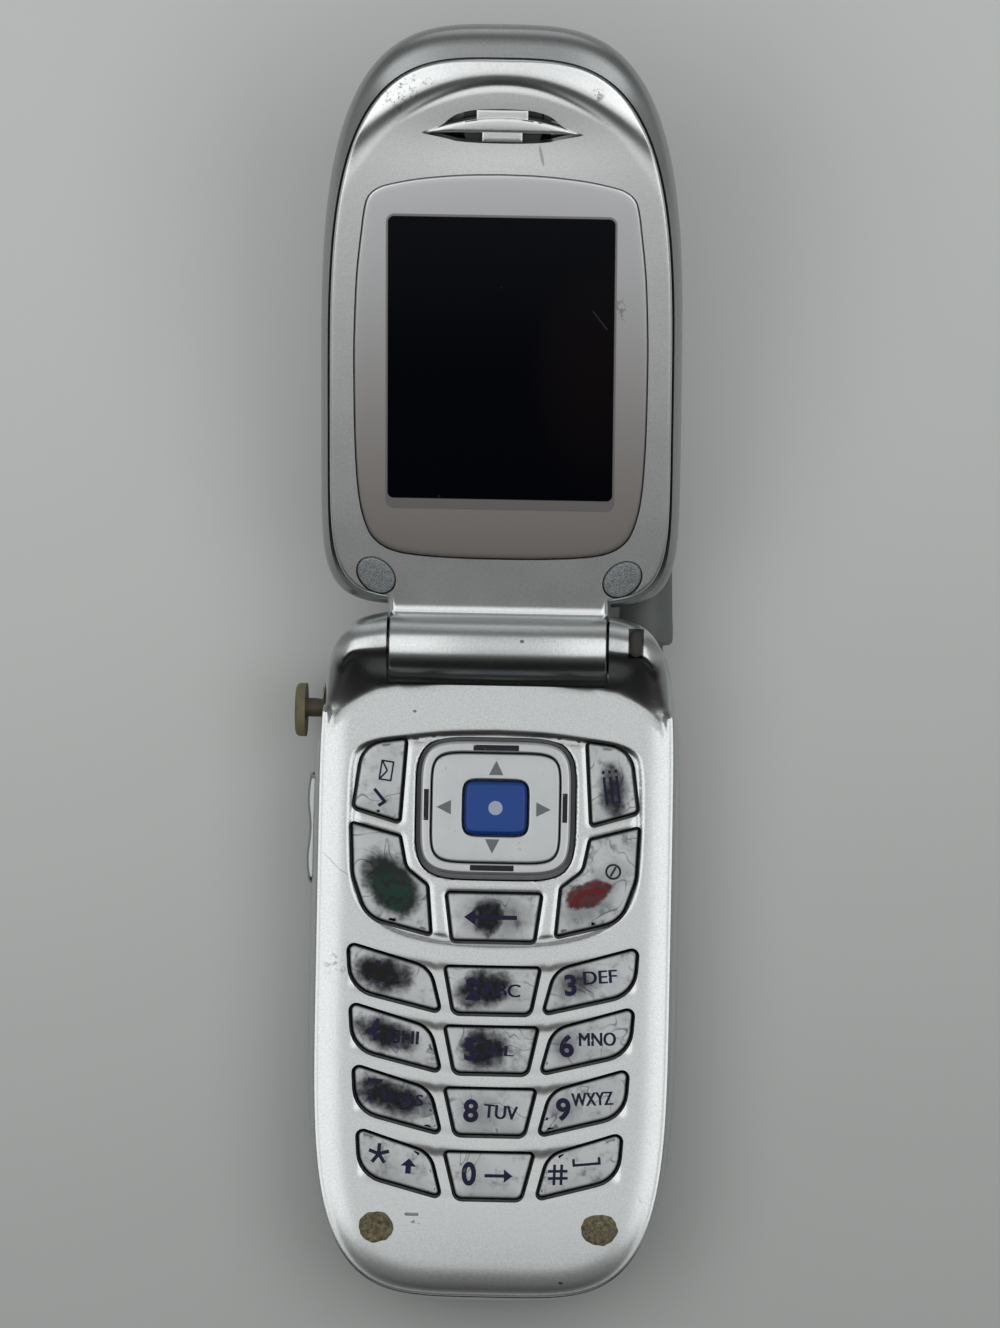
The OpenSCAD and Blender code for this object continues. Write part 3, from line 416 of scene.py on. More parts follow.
def relief(loops, height, low, holes=(), lines=(), spacing=0.6, shape=None, base=True):
    """A closed plate with a shaped top.

    loops run from its outline inwards, and each hole's loops from its edge outwards."""
    shape = shape or Shape()

    def ring(loop):
        return shape.points(np.column_stack([loop, height(loop)]))

    rims = [ring(loop) for loop in loops]
    shape.wall(*rims)
    mouths = []
    for hole in holes:
        mouths.append([ring(loop) for loop in hole])
        shape.wall(*mouths[-1][::-1])
    known = {0: rims[-1], **{k + 1: m[-1] for k, m in enumerate(mouths)}}
    shape.skin(triangles(loops[-1], [h[-1] for h in holes], lines, spacing), height, rim=known)
    edge, openings = rims[0], [m[0] for m in mouths]
    if base:
        under = shape.skin(triangles(loops[0], [h[0] for h in holes], (), 0), low, up=False)
        shape.wall(under[0], edge)
        for opening, below in zip(openings, under[1:]):
            shape.wall(opening, below)
    return shape, edge, openings


def crowned(outline, top, bevel, crown=0.0, reach=None):
    """Height of a plate's top: a rounded edge, then a shallow crown that ends at reach from the outline."""
    reach = reach or min(np.ptp(outline[:, 0]), np.ptp(outline[:, 1])) / 2

    def height(p):
        d = np.maximum(inside(p, outline), 0)
        return top - shoulder(d, bevel) - crown * (1 - np.clip(d / reach, 0, 1)) ** 2

    return height


def lathe(profile, count=48):
    """Closed turned shape round Z from (radius, height) pairs, from its lower pole to its upper one."""
    shape = Shape()
    rows = [shape.level(round_points(count if r else 1) * r, h) for r, h in profile]
    for low, high in zip(rows, rows[1:]):
        if len(low) == 1:
            shape.faces += [(low[0], high[(i + 1) % count], high[i]) for i in range(count)]
        elif len(high) == 1:
            shape.faces += [(low[i], low[(i + 1) % count], high[0]) for i in range(count)]
        else:
            shape.wall(low, high)
    return shape


def catmull(rows, parts=3):
    """Smooth rows through the given ones."""
    rows = np.array(rows, float)
    padded = np.concatenate([[2 * rows[0] - rows[1]], rows, [2 * rows[-1] - rows[-2]]])
    out = []
    for i in range(len(rows) - 1):
        p0, p1, p2, p3 = padded[i : i + 4]
        square, cube = 2 * p0 - 5 * p1 + 4 * p2 - p3, 3 * p1 - p0 - 3 * p2 + p3
        for t in np.arange(parts) / parts:
            out.append(0.5 * (2 * p1 + (p2 - p0) * t + square * t**2 + cube * t**3))
    return np.array(out + [rows[-1]])


def box_shape(x, y, z):
    """Plain block, used as a cutter and for what stays hidden."""
    shape = Shape()
    loop = [[x[0], y[0]], [x[1], y[0]], [x[1], y[1]], [x[0], y[1]]]
    return shape.bar(*(shape.level(loop, height) for height in z))


def rod_shape(start, end, r, count=32):
    """Round bar between two points."""
    shape = Shape()
    start, end = Vector(start), Vector(end)
    turn = (end - start).to_track_quat("Z", "Y").to_matrix()
    rim = [turn @ Vector((*p, 0)) for p in round_points(count) * r]
    return shape.bar(*(shape.points([list(c + p) for p in rim]) for c in (start, end)))


def carve(shape, name, *cutters):
    """The shape's mesh with the cutters taken out of it."""
    def raw(s, label):
        mesh = s.mesh(label)
        thing = bpy.data.objects.new(label, mesh)
        bpy.context.scene.collection.objects.link(thing)
        return thing

    body = raw(shape, name + "_raw")
    tools = [raw(c, name + "_tool") for c in cutters]
    for tool in tools:
        cut = body.modifiers.new("cut", "BOOLEAN")
        cut.operation, cut.solver, cut.object = "DIFFERENCE", "EXACT", tool
    graph = bpy.context.evaluated_depsgraph_get()
    mesh = bpy.data.meshes.new_from_object(body.evaluated_get(graph))
    for thing in [body, *tools]:
        bpy.data.objects.remove(thing)
    return mesh


# ---------------------------------------------------------------- materials


class Value:
    """A number socket that takes Python's operators."""

    def __init__(self, kit, socket):
        self.kit, self.socket = kit, socket

    def _math(self, operation, *others):
        return self.kit.number("ShaderNodeMath", [self, *others], operation=operation)

    def __add__(self, other):
        return self._math("ADD", other)

    def __sub__(self, other):
        return self._math("SUBTRACT", other)

    def __mul__(self, other):
        return self._math("MULTIPLY", other)

    def __truediv__(self, other):
        return self._math("DIVIDE", other)

    def __neg__(self):
        return self * -1

    def __abs__(self):
        return self._math("ABSOLUTE")

    def __radd__(self, other):
        return self + other

    def __rmul__(self, other):
        return self * other

    def __rsub__(self, other):
        return self.kit.number("ShaderNodeMath", [other, self], operation="SUBTRACT")

    def least(self, other):
        return self._math("MINIMUM", other)

    def most(self, other):
        return self._math("MAXIMUM", other)

    def root(self):
        return self._math("SQRT")

    def ramp(self, low, high):
        """0 below low, 1 above high, smooth between. low may be the larger one."""
        if low > high:
            return 1 - self.ramp(high, low)
        return self.kit.number(
            "ShaderNodeMapRange", [self, low, high, 0.0, 1.0], interpolation_type="SMOOTHSTEP"
        )


class Tree:
    """A tree of nodes."""

    def give(self, socket, value):
        """Links a socket to another one, or sets its value."""
        value = value.socket if isinstance(value, Value) else value
        if isinstance(value, bpy.types.NodeSocket):
            self.tree.links.new(value, socket)
        elif socket.type == "RGBA" and len(value) == 3:
            socket.default_value = (*value, 1)
        else:
            socket.default_value = value

    def node(self, kind, values=(), **settings):
        """A node with its settings, and with values or links for its sockets, in order or by name."""
        node = self.tree.nodes.new(kind)
        stops = settings.pop("stops", None)
        for key, value in settings.items():
            setattr(node, key, value)
        if stops:
            ramp = node.color_ramp
            while len(ramp.elements) < len(stops):
                ramp.elements.new(0.5)
            for element, (place, colour) in zip(ramp.elements, stops):
                element.position = place
                element.color = (*colour, 1) if len(colour) == 3 else colour
        for key, value in values.items() if isinstance(values, dict) else enumerate(values):
            if value is not None:
                self.give(node.inputs[key], value)
        return node

    def out(self, kind, values=(), **settings):
        """A node's first output."""
        return self.node(kind, values, **settings).outputs[0]

    def number(self, kind, values=(), **settings):
        return Value(self, self.out(kind, values, **settings))


class Finish(Tree):
    """A material and its nodes."""

    def __init__(self, name, rough=0.4, metal=0.0, coat=0.0, coat_rough=0.1, specular=0.5):
        self.material = bpy.data.materials.new(name)
        self.material.use_nodes = True
        self.tree = self.material.node_tree
        self.tree.nodes.clear()
        out = self.tree.nodes.new("ShaderNodeOutputMaterial")
        self.shader = self.tree.nodes.new("ShaderNodeBsdfPrincipled")
        self.tree.links.new(self.shader.outputs[0], out.inputs[0])
        values = {"Roughness": rough, "Metallic": metal, "Coat Weight": coat, "Coat Roughness": coat_rough}
        for socket, value in {**values, "Specular IOR Level": specular}.items():
            self.feed(socket, value)
        self.where = self.node("ShaderNodeTexCoord").outputs["Object"]
        split = self.node("ShaderNodeSeparateXYZ", [self.where])
        self.x, self.y, self.z = (Value(self, split.outputs[i]) * 1000 for i in range(3))

    def along_lid(self):
        """Distance from the hinge's axis, along the lid."""
        return self.y * math.cos(TILT) + (self.z - AXIS) * math.sin(TILT)

    def mix(self, factor, a, b):
        """Colour a where the factor is 0 and b where it is 1."""
        return self.node("ShaderNodeMix", {0: factor, 6: a, 7: b}, data_type="RGBA").outputs[2]

    def noise(self, size, detail=3.0, rough=0.55, stretch=(1, 1, 1), shift=(0, 0, 0), warp=0.0):
        """Soft noise from 0 to 1 with features of about size, in millimetres."""
        scale = [1000 / size * s for s in stretch]
        place = self.out("ShaderNodeMapping", [self.where, shift, None, tuple(scale)])
        values = {"Vector": place, "Scale": 1.0, "Detail": detail, "Roughness": rough, "Distortion": warp}
        return self.number("ShaderNodeTexNoise", values)

    def cells(self, size, feature="F1"):
        """Distance from the middles or edges of random cells of about size, in millimetres."""
        place = self.out("ShaderNodeMapping", [self.where, None, None, (1000 / size,) * 3])
        return self.number("ShaderNodeTexVoronoi", {"Vector": place, "Scale": 1.0}, feature=feature)

    def blob(self, x, y, rx, ry, turn=0.0, u=None, v=None):
        """1 in the middle of an oval spot and 0 at its edge and beyond."""
        u, v = (self.x if u is None else u) - x, (self.y if v is None else v) - y
        c, s = math.cos(math.radians(turn)), math.sin(math.radians(turn))
        a, b = (u * c + v * s) / rx, (v * c - u * s) / ry
        return (1 - (a * a + b * b)).most(0.0)

    def colour(self, value):
        self.feed("Base Color", value)

    def rough(self, value):
        self.feed("Roughness", value)

    def feed(self, socket, value):
        self.give(self.shader.inputs[socket], value)

    def bump(self, height, depth=0.02, strength=1.0):
        """Relief of the surface. depth is in millimetres."""
        values = {"Strength": strength, "Distance": depth * MM, "Height": height}
        self.feed("Normal", self.out("ShaderNodeBump", values))


FINISHES = {}


def finish(name):
    if name not in FINISHES:
        FINISHES[name] = MAKERS[name]()
    return FINISHES[name]


def srgb(text):
    """Linear colour from a six-digit hexadecimal one."""
    parts = [int(text[i : i + 2], 16) / 255 for i in (0, 2, 4)]
    return tuple(c / 12.92 if c <= 0.04045 else ((c + 0.055) / 1.055) ** 2.4 for c in parts)


def toned(colour, factor):
    return tuple(min(1, c * factor) for c in colour)


def chosen(name):
    """A colour from the panel."""
    return tuple(getattr(bpy.context.scene.phone_finishes, name))


def case_paint(f, colour, dirt_and_shade=None, rough=0.21):
    """Silver paint: fine flake, faint mottling and grazes."""
    flake = f.cells(0.09)
    tone = f.noise(0.25, 2.0, 0.7)
    mottle = f.noise(9, 3.0)
    base = f.mix((tone - 0.5) * 2.2 + (mottle - 0.5) * 0.25 + 0.5, toned(colour, 0.9), toned(colour, 1.09))
    base = f.mix(flake.ramp(0.42, 0.15) * 0.25, base, (0.9, 0.92, 0.93))
    worn = f.noise(2.2, 6.0, 0.7, warp=0.6).ramp(0.66, 0.72)
    worn = worn * f.noise(14, 2.0, shift=(3, 1, 0)).ramp(0.5, 0.62)
    base = f.mix(worn * 0.35, base, srgb("8d8f8f"))
    if dirt_and_shade is not None:
        # Dark marks from the caller: real dirt and cracks, and painted shade such as inside the strap slot.
        base = f.mix(dirt_and_shade, base, srgb("4a4a48"))
    f.colour(base)
    f.rough(f.noise(4, 4.0) * 0.06 + rough + worn * 0.2)
    f.bump(tone * 0.5 + worn * -0.6, 0.006)
    return f


def case_silver():
    f = Finish("case_silver", metal=1.0)
    spots = (
        f.blob(-20, -41, 1.6, 2.6, 20) * f.noise(0.6, 4.0).ramp(0.5, 0.62) * 0.5
        + f.blob(-10.5, -8.5, 0.28, 0.2).ramp(0, 0.5) * 0.8
        + f.blob(9.4, -80.8, 0.35, 0.2).ramp(0, 0.5) * 0.8
        + f.blob(-9, -73.2, 1.2, 0.5).ramp(0, 0.6) * f.noise(0.4, 2.0).ramp(0.55, 0.65) * 0.7
    )
    # Painted shade: the strap slot's walls and a thin rim round it are painted dark.
    slot = (abs(f.x - STRAP_SPOT[0]) - 0.95).ramp(0.05, -0.02)
    slot = slot * (abs(f.y - STRAP_SPOT[1]) - 1.85).ramp(0.05, -0.02)
    crack = abs(f.y + 27.4 + (f.x + 21) * 0.75 + (f.noise(3, 3.0) - 0.5) * 1.6).ramp(0.12, 0.02)
    crack = crack * f.blob(-20.2, -28, 2.2, 2.4).ramp(0, 0.3)
    return case_paint(f, chosen("case_colour"), (spots + crack * 0.35 + slot).least(1.0)).material


def lid_silver():
    f = Finish("lid_silver", metal=1.0)
    along = f.along_lid()
    grit = f.noise(0.5, 4.0, 0.7)
    spots = (
        f.blob(-13, 73, 3.2, 3.6, -30, v=along) * grit.ramp(0.53, 0.62)
        + f.blob(11.8, 72.6, 1.0, 1.0, v=along) * grit.ramp(0.48, 0.56)
        + f.blob(4.9, 64.6, 0.22, 1.5, 12, v=along).ramp(0, 0.5) * 0.55
        + f.blob(-9, 74, 1.2, 0.6, v=along) * grit.ramp(0.5, 0.6)
    )
    # The lid's colour is lighter than the case's though the paint is the same: painted light.
    return case_paint(f, chosen("lid_colour"), (spots * 0.8).least(1.0), 0.27).material


def barrel_silver():
    f = Finish("barrel_silver", metal=1.0)
    spot = f.blob(3.1, 0.6, 0.3, 0.24).ramp(0, 0.4)
    return case_paint(f, chosen("case_colour"), spot * 0.8).material


def shaded_silver(name, shade):
    """The case's silver on the sides and the back, rougher, and toned darker as painted shade."""
    def make():
        return case_paint(Finish(name, metal=1.0), toned(chosen("case_colour"), shade), None, 0.27).material
    return make


SMEARS = [
    # x, y, half width, half height, turn, strength
    (-13.9, -42.0, 3.2, 1.9, -12, 1.0), (-1.0, -43.6, 3.0, 2.0, 10, 1.0), (10.6, -42.7, 2.6, 1.6, 15, 0.6),
    (9.4, -43.2, 1.2, 1.6, 0, 0.5),
    (-13.3, -49.6, 3.4, 1.5, -16, 0.95), (-0.9, -51.3, 2.5, 2.1, 0, 1.0), (9.2, -50.6, 1.6, 1.8, 0, 0.45),
    (-12.7, -57.5, 4.0, 1.8, -18, 0.9), (-1.4, -58.9, 2.4, 1.9, 0, 0.3), (9.3, -58.6, 1.9, 1.8, 0, 0.35),
    (-0.6, -34.4, 1.8, 1.9, 0, 1.0), (0.0, -34.3, 3.8, 2.2, 0, 0.45), (14.9, -18.2, 1.5, 2.9, 6, 0.8),
    (-1.6, -67.0, 1.6, 2.0, 0, 0.12),
    (14.6, -29.2, 2.6, 1.4, 35, 0.3),
]


def key_silver():
    """Clear-coated silver keys whose print has smeared and whose coat has lifted."""
    colour = chosen("key_colour")
    f = Finish("key_silver", coat_rough=0.12, specular=0.2)
    wobble = f.noise(1.7, 5.0, 0.62) - 0.5
    ink, ring = None, None
    for x, y, rx, ry, turn, strength in SMEARS:
        spot = f.blob(x, y, rx * 1.5, ry * 1.5, turn) * strength + wobble * (1.3 * strength)
        ink = spot if ink is None else ink.most(spot)
    core, halo = ink.ramp(0.3, 0.85), ink.ramp(-0.15, 0.6)
    talk = f.blob(-13.2, -30.6, 5.6, 3.6, -48) + wobble * 0.8
    end = f.blob(11.9, -31.4, 3.6, 1.9, 27) + wobble * 1.3
    shade = (f.blob(12.0, -32.8, 4.6, 2.6, 27) + wobble).ramp(0.0, 0.9) * 0.5
    haze = f.noise(4, 3.0, shift=(0.3, 0.1, 0))
    lift = f.noise(6.5, 2.2, 0.5, shift=(0.02, 0.013, 0), warp=0.6)
    edge = abs(lift - 0.52).ramp(0.012, 0.003)
    scrape = f.noise(0.8, 4.0, 0.7, stretch=(1, 2, 1), shift=(0.01, 0, 0)).ramp(0.66, 0.74)
    base = f.mix(haze, toned(colour, 0.9), toned(colour, 1.06))
    base = f.mix(lift.ramp(0.52, 0.6) * 0.16, base, srgb("7f8689"))
    base = f.mix(edge * f.noise(2.5, 2.0, shift=(0.05, 0, 0)).ramp(0.35, 0.6) * 0.65, base, srgb("596064"))
    base = f.mix(scrape * 0.4, base, srgb("6b7174"))
    base = f.mix(shade, base, srgb("53585a"))
    base = f.mix(halo * 0.7, base, srgb("34363f"))
    base = f.mix(talk.ramp(0.0, 0.7), base, srgb("1c2624"))
    green = talk.ramp(0.3, 0.8) * f.noise(1.1, 3.0).ramp(0.4, 0.6) * f.y.ramp(-28, -31)
    base = f.mix(green, base, srgb("123c33"))
    red = f.mix(f.noise(1.2, 3.0).ramp(0.45, 0.6), srgb("5e151c"), srgb("351218"))
    base = f.mix(end.ramp(0.1, 0.55) * 0.92, base, red)
    base = f.mix(core, base, f.mix(f.noise(1.0, 3.0).ramp(0.48, 0.7), srgb("0a0b0e"), srgb("1d1e33")))
    # Painted shade: below the face the key is painted near-black, as in the gap round it.
    base = f.mix(f.z.ramp(FACE + 0.1, FACE - 0.05), base, srgb("14181a"))
    dull = 1 - core.most(talk.ramp(0.1, 0.7)).most(end.ramp(0.2, 0.6))
    f.colour(base)
    f.feed("Metallic", dull * 0.5)
    f.feed("Coat Weight", dull * 0.15)
    f.rough(f.noise(3, 3.0) * 0.12 + 0.28)
    f.bump(edge * 0.6 + lift.ramp(0.51, 0.54) * 1.0 + scrape * 0.4, 0.03)
    return f.material


def nav_silver():
    f = Finish("nav_silver", metal=0.75, coat=0.2, coat_rough=0.1)
    haze = f.noise(3.5, 4.0)
    colour = chosen("key_colour")
    base = f.mix(haze, toned(colour, 0.85), toned(colour, 1.02))
    grime = f.noise(0.7, 5.0, 0.7).ramp(0.6, 0.72) * f.noise(5, 2.0, shift=(2, 0, 0)).ramp(0.45, 0.6)
    base = f.mix(grime * 0.5, base, srgb("595d5f"))
    # Painted shade: below the face the ring is painted dark, as in its groove.
    base = f.mix(f.z.ramp(FACE + 0.05, FACE - 0.2), base, srgb("2a2d2f"))
    f.colour(base)
    f.rough(haze * 0.12 + 0.24)
    f.bump(grime, 0.01)
    return f.material


def key_blue():
    f = Finish("key_blue", coat=0.2, coat_rough=0.08, rough=0.35, specular=0.25)
    colour = chosen("blue")
    border = (abs(f.x) - 3.2).most(abs(f.y + 20.6) - 2.6).ramp(0.1, 0.8)
    base = f.mix(f.noise(2.5, 3.0) * 0.35, colour, toned(colour, 0.75))
    base = f.mix(border * 0.6, base, srgb("0d2350"))
    scratch = f.noise(0.9, 6.0, 0.8, stretch=(1, 2.5, 1)).ramp(0.68, 0.74)
    base = f.mix(scratch * 0.5, base, srgb("7f9cc8"))
    f.colour(base)
    f.rough(scratch * 0.3 + 0.22)
    return f.material


def window_panel():
    """Clear plate printed silver-grey behind, with the dark display in its middle."""
    f = Finish("window_panel", coat_rough=0.05, rough=0.35, specular=0.12)
    along = f.along_lid()

    def frame_of(low, high, half, r):
        u = (abs(f.x) - (half - r)).most(0.0)
        v = (abs(along - (low + high) / 2) - ((high - low) / 2 - r)).most(0.0)
        return (u * u + v * v).root() - r

    opening = frame_of(18.1, 56.9, 14.45, 1.1)
    screen = frame_of(19.5, 56.6, 14.2, 0.8)
    grain = f.noise(0.3, 3.0, 0.7)
    # Painted shade and light: darker and browner towards the hinge, lighter towards the tip.
    base = f.mix(along.ramp(12, 60), srgb("b0aaa6"), srgb("dcdfe1"))
    base = f.mix((grain - 0.5) * 0.6 + 0.3, base, f.mix(along.ramp(12, 60), srgb("bdb7b3"), srgb("e6e8ea")))
    wear = f.blob(14.9, 44.6, 0.9, 2.2, v=along) * f.noise(0.7, 4.0).ramp(0.5, 0.6)
    base = f.mix(wear * 0.6, base, srgb("6f7070"))
    base = f.mix(opening.ramp(0.05, -0.05), base, srgb("9d9a98"))
    # Painted reflection: a dim reddish patch on the black display.
    screen_and_reflection = f.mix(f.blob(12, 36, 9, 16, v=along) * 0.7, srgb("02040c"), srgb("150f10"))
    scratch = abs((f.x - 12.4) * 0.8 + (along - 43.4) * 0.6).ramp(0.1, 0.02)
    scratch = scratch * f.blob(12.4, 43.4, 1.6, 1.6, v=along).ramp(0, 0.2)
    specks = f.cells(5.5).ramp(0.045, 0.03)
    screen_and_reflection = f.mix((scratch + specks * 0.5).least(1.0) * 0.4, screen_and_reflection, srgb("5a5a5e"))
    base = f.mix(screen.ramp(0.06, -0.06), base, screen_and_reflection)
    f.colour(base)
    f.rough((scratch * 0.3 + 0.35) - screen.ramp(0.06, -0.06) * 0.2)
    f.feed("Metallic", screen.ramp(-0.06, 0.06) * 0.9)
    f.feed("Coat Weight", screen.ramp(-0.06, 0.06) * 0.15)
    return f.material


def cap_grey():
    f = Finish("screw_cap", rough=0.45, metal=0.3)
    grain = f.noise(0.16, 2.0, 0.8)
    f.colour(f.mix(grain.ramp(0.38, 0.62), srgb("666c6e"), srgb("a5aaac")))
    f.bump(grain, 0.02)
    return f.material


def olive_rubber():
    f = Finish("olive_rubber", rough=0.55)
    tone = f.noise(1.6, 4.0, 0.6)
    base = f.mix(tone, srgb("565138"), srgb("857e5e"))
    # Painted shade: darker towards the body, where the cover sits in its seat.
    base = f.mix(f.x.ramp(-24.75, -24.3) * 0.75, base, srgb("352f1e"))
    f.colour(base)
    f.rough(tone * 0.2 + 0.45)
    f.bump(f.noise(0.3, 4.0, 0.7), 0.04)
    return f.material


def residue():
    """Crumbled, sticky remains of a rubber bumper."""
    f = Finish("bumper_residue", rough=0.6, specular=0.6)
    crumb = f.noise(0.55, 6.0, 0.75, warp=0.4)
    patch = f.noise(1.7, 4.0, 0.6)
    base = f.mix(crumb.ramp(0.35, 0.68), srgb("3f3b22"), srgb("8b8462"))
    base = f.mix(patch.ramp(0.5, 0.68) * 0.55, base, srgb("7d6848"))
    base = f.mix(f.noise(0.3, 3.0, 0.6).ramp(0.66, 0.74) * 0.8, base, srgb("c9c5ae"))
    f.colour(base)
    f.rough(crumb * 0.5 + 0.25)
    f.bump(crumb + f.noise(0.22, 3.0) * 0.4, 0.16)
    return f.material


def plain(name, low, high, size, rough, metal=0.0, coat=0.0, depth=0.008, stretch=(1, 1, 1)):
    """A finish of two near tones in fine grain."""
    def make():
        f = Finish(name, metal=metal, coat=coat, coat_rough=0.15)
        grain = f.noise(size, 4.0, 0.65, stretch=stretch)
        f.colour(f.mix(grain, srgb(low), srgb(high)))
        f.rough(grain * 0.16 + rough - 0.08)
        f.bump(grain, depth)
        return f.material
    return make


def board_green():
    f = Finish("circuit_board", rough=0.35, coat=0.5)
    track = f.cells(1.4, "DISTANCE_TO_EDGE").ramp(0.05, 0.02)
    base = f.mix(f.noise(0.6, 3.0), srgb("0f4a2a"), srgb("1b6438"))
    f.colour(f.mix(track * 0.6, base, srgb("5fae62")))
    f.bump(track, 0.02)
    return f.material


def print_ink(name, text, worn=0.35):
    def make():
        f = Finish(name, rough=0.5, specular=0.2)
        fade = f.noise(0.8, 5.0, 0.7).ramp(0.62, 0.7) * worn
        f.colour(f.mix(fade, srgb(text), srgb("9a9fa3")))
        f.rough(fade * 0.2 + 0.4)
        return f.material
    return make


def dark_glass():
    f = Finish("dark_glass", rough=0.12, coat=1.0, coat_rough=0.02)
    specks = f.cells(3.5).ramp(0.05, 0.03)
    f.colour(f.mix(specks * 0.25, srgb("07080c"), srgb("6a6c70")))
    f.rough(f.noise(6, 3.0) * 0.08 + 0.08)
    return f.material


MAKERS = {
    "case_silver": case_silver,
    "lid_silver": lid_silver,
    # The rim and the rear get the case silver toned darker: painted shade.
    "rim_silver": shaded_silver("rim_silver", 0.62),
    "rear_silver": shaded_silver("rear_silver", 0.85),
    "barrel_silver": barrel_silver,
    "key_silver": key_silver,
    "nav_silver": nav_silver,
    "key_blue": key_blue,
    "window_panel": window_panel,
    "screw_cap": cap_grey,
    "olive_rubber": olive_rubber,
    "residue": residue,
    "circuit_board": board_green,
    "dark_glass": dark_glass,
    "navy_ink": print_ink("navy_ink", "17173a"),
    "arrow_ink": print_ink("arrow_ink", "777d80", 0.6),
    "bar_ink": print_ink("bar_ink", "24252e", 0.7),
    "green_ink": print_ink("green_ink", "16392f"),
    "red_ink": print_ink("red_ink", "6c1a21"),
    "dot_ink": print_ink("dot_ink", "b4bed0", 0.2),
    "antenna_grey": plain("antenna_grey", "5c6160", "6c7170", 0.5, 0.5),
    "black_plastic": plain("black_plastic", "101114", "1c1d20", 0.4, 0.45),
    "silicone_mat": plain("silicone_mat", "b4b7b9", "c6c8ca", 0.8, 0.6),
    "steel": plain("steel", "8f9193", "b7b9ba", 0.5, 0.35, metal=1.0, stretch=(1, 6, 1)),
    "brass": plain("brass", "a98b45", "c8a85c", 0.5, 0.35, metal=1.0),
    "flex_film": plain("flex_film", "a8621c", "c07a2a", 1.2, 0.35, coat=0.4),
    "grille_silver": plain("grille_silver", "eef1f1", "fafbfb", 0.4, 0.3, metal=0.9),
}


# ---------------------------------------------------------------- settings


def length(name, description, default, low=0.0, high=50.0):
    """A size in millimetres."""
    return FloatProperty(
        name=name, description=description + ", in millimetres", default=default, min=low, max=high
    )


def paint(name, description, text):
    return FloatVectorProperty(
        name=name, description=description, default=srgb(text), min=0, max=1, size=3, subtype="COLOR"
    )


class PhoneFinishes(bpy.types.PropertyGroup):
    """Colours of the visible pieces."""

    case_colour: paint("Case", "Silver paint of the covers", "c9cdcd")
    # Lighter than the case's silver, though it is the same paint: painted light on the lid.
    lid_colour: paint("Lid", "Silver paint inside the lid", "eef1f1")
    key_colour: paint("Keys", "Silver of the keys", "ccd0d1")
    blue: paint("Middle key", "Blue of the key in the middle of the ring", "134a9e")


class PhoneSizes(bpy.types.PropertyGroup):
    """Sizes of the modelled detail."""

    key_crown: length("Key crown", "Height of a key's middle over its rim", 0.22, 0, 1)
    key_bevel: length("Key bevel", "Radius of a key's upper edge", 0.5, 0.1, 1)
    ink_height: length("Ink height", "Height of the print over a key", 0.03, 0.01, 0.2)
    key_gap: length("Key gap", "Gap round each key", 0.22, 0.05, 1)
    trough_depth: length("Trough depth", "Depth of the troughs between the rows of keys", 0.3, 0, 1)
    edge_radius: length("Edge radius", "Radius of the face's outer edge", 3.4, 1, 6)
    can_bore: length("Left bore", "Radius of the barrel's left bore", 3.37, 2, 4)
    bush_bore: length("Right bore", "Radius of the barrel's right bore", 2.62, 2, 4)
    ridge: length("Ridge", "Height of the raised rim at the tip of the lid", 0.2, 0, 0.6)


class PhoneStage(bpy.types.PropertyGroup):
    """Camera, lamps and floor."""

    camera_height: FloatProperty(
        name="Camera height", description="Height of the camera over the floor", default=1.0, min=0.2,
        max=3, unit="LENGTH"
    )
    camera_side: FloatProperty(
        name="Camera side", description="How far the camera stands to the right", default=0.033, min=-1,
        max=1, unit="LENGTH"
    )
    lens: FloatProperty(
        name="Lens", description="Focal length in millimetres on a 36 mm film", default=210.5, min=20,
        max=400
    )
    floor_colour: paint("Floor", "Colour of the floor", "d9dcda")
    soft_light: FloatProperty(
        name="Soft light", description="Strength of the even light from all round", default=0.9, min=0,
        max=5
    )
    lamp_light: FloatProperty(
        name="Lamp light", description="Brightness of the soft lamp over the telephone", default=0.8, min=0,
        max=20
    )


# ---------------------------------------------------------------- grown pieces


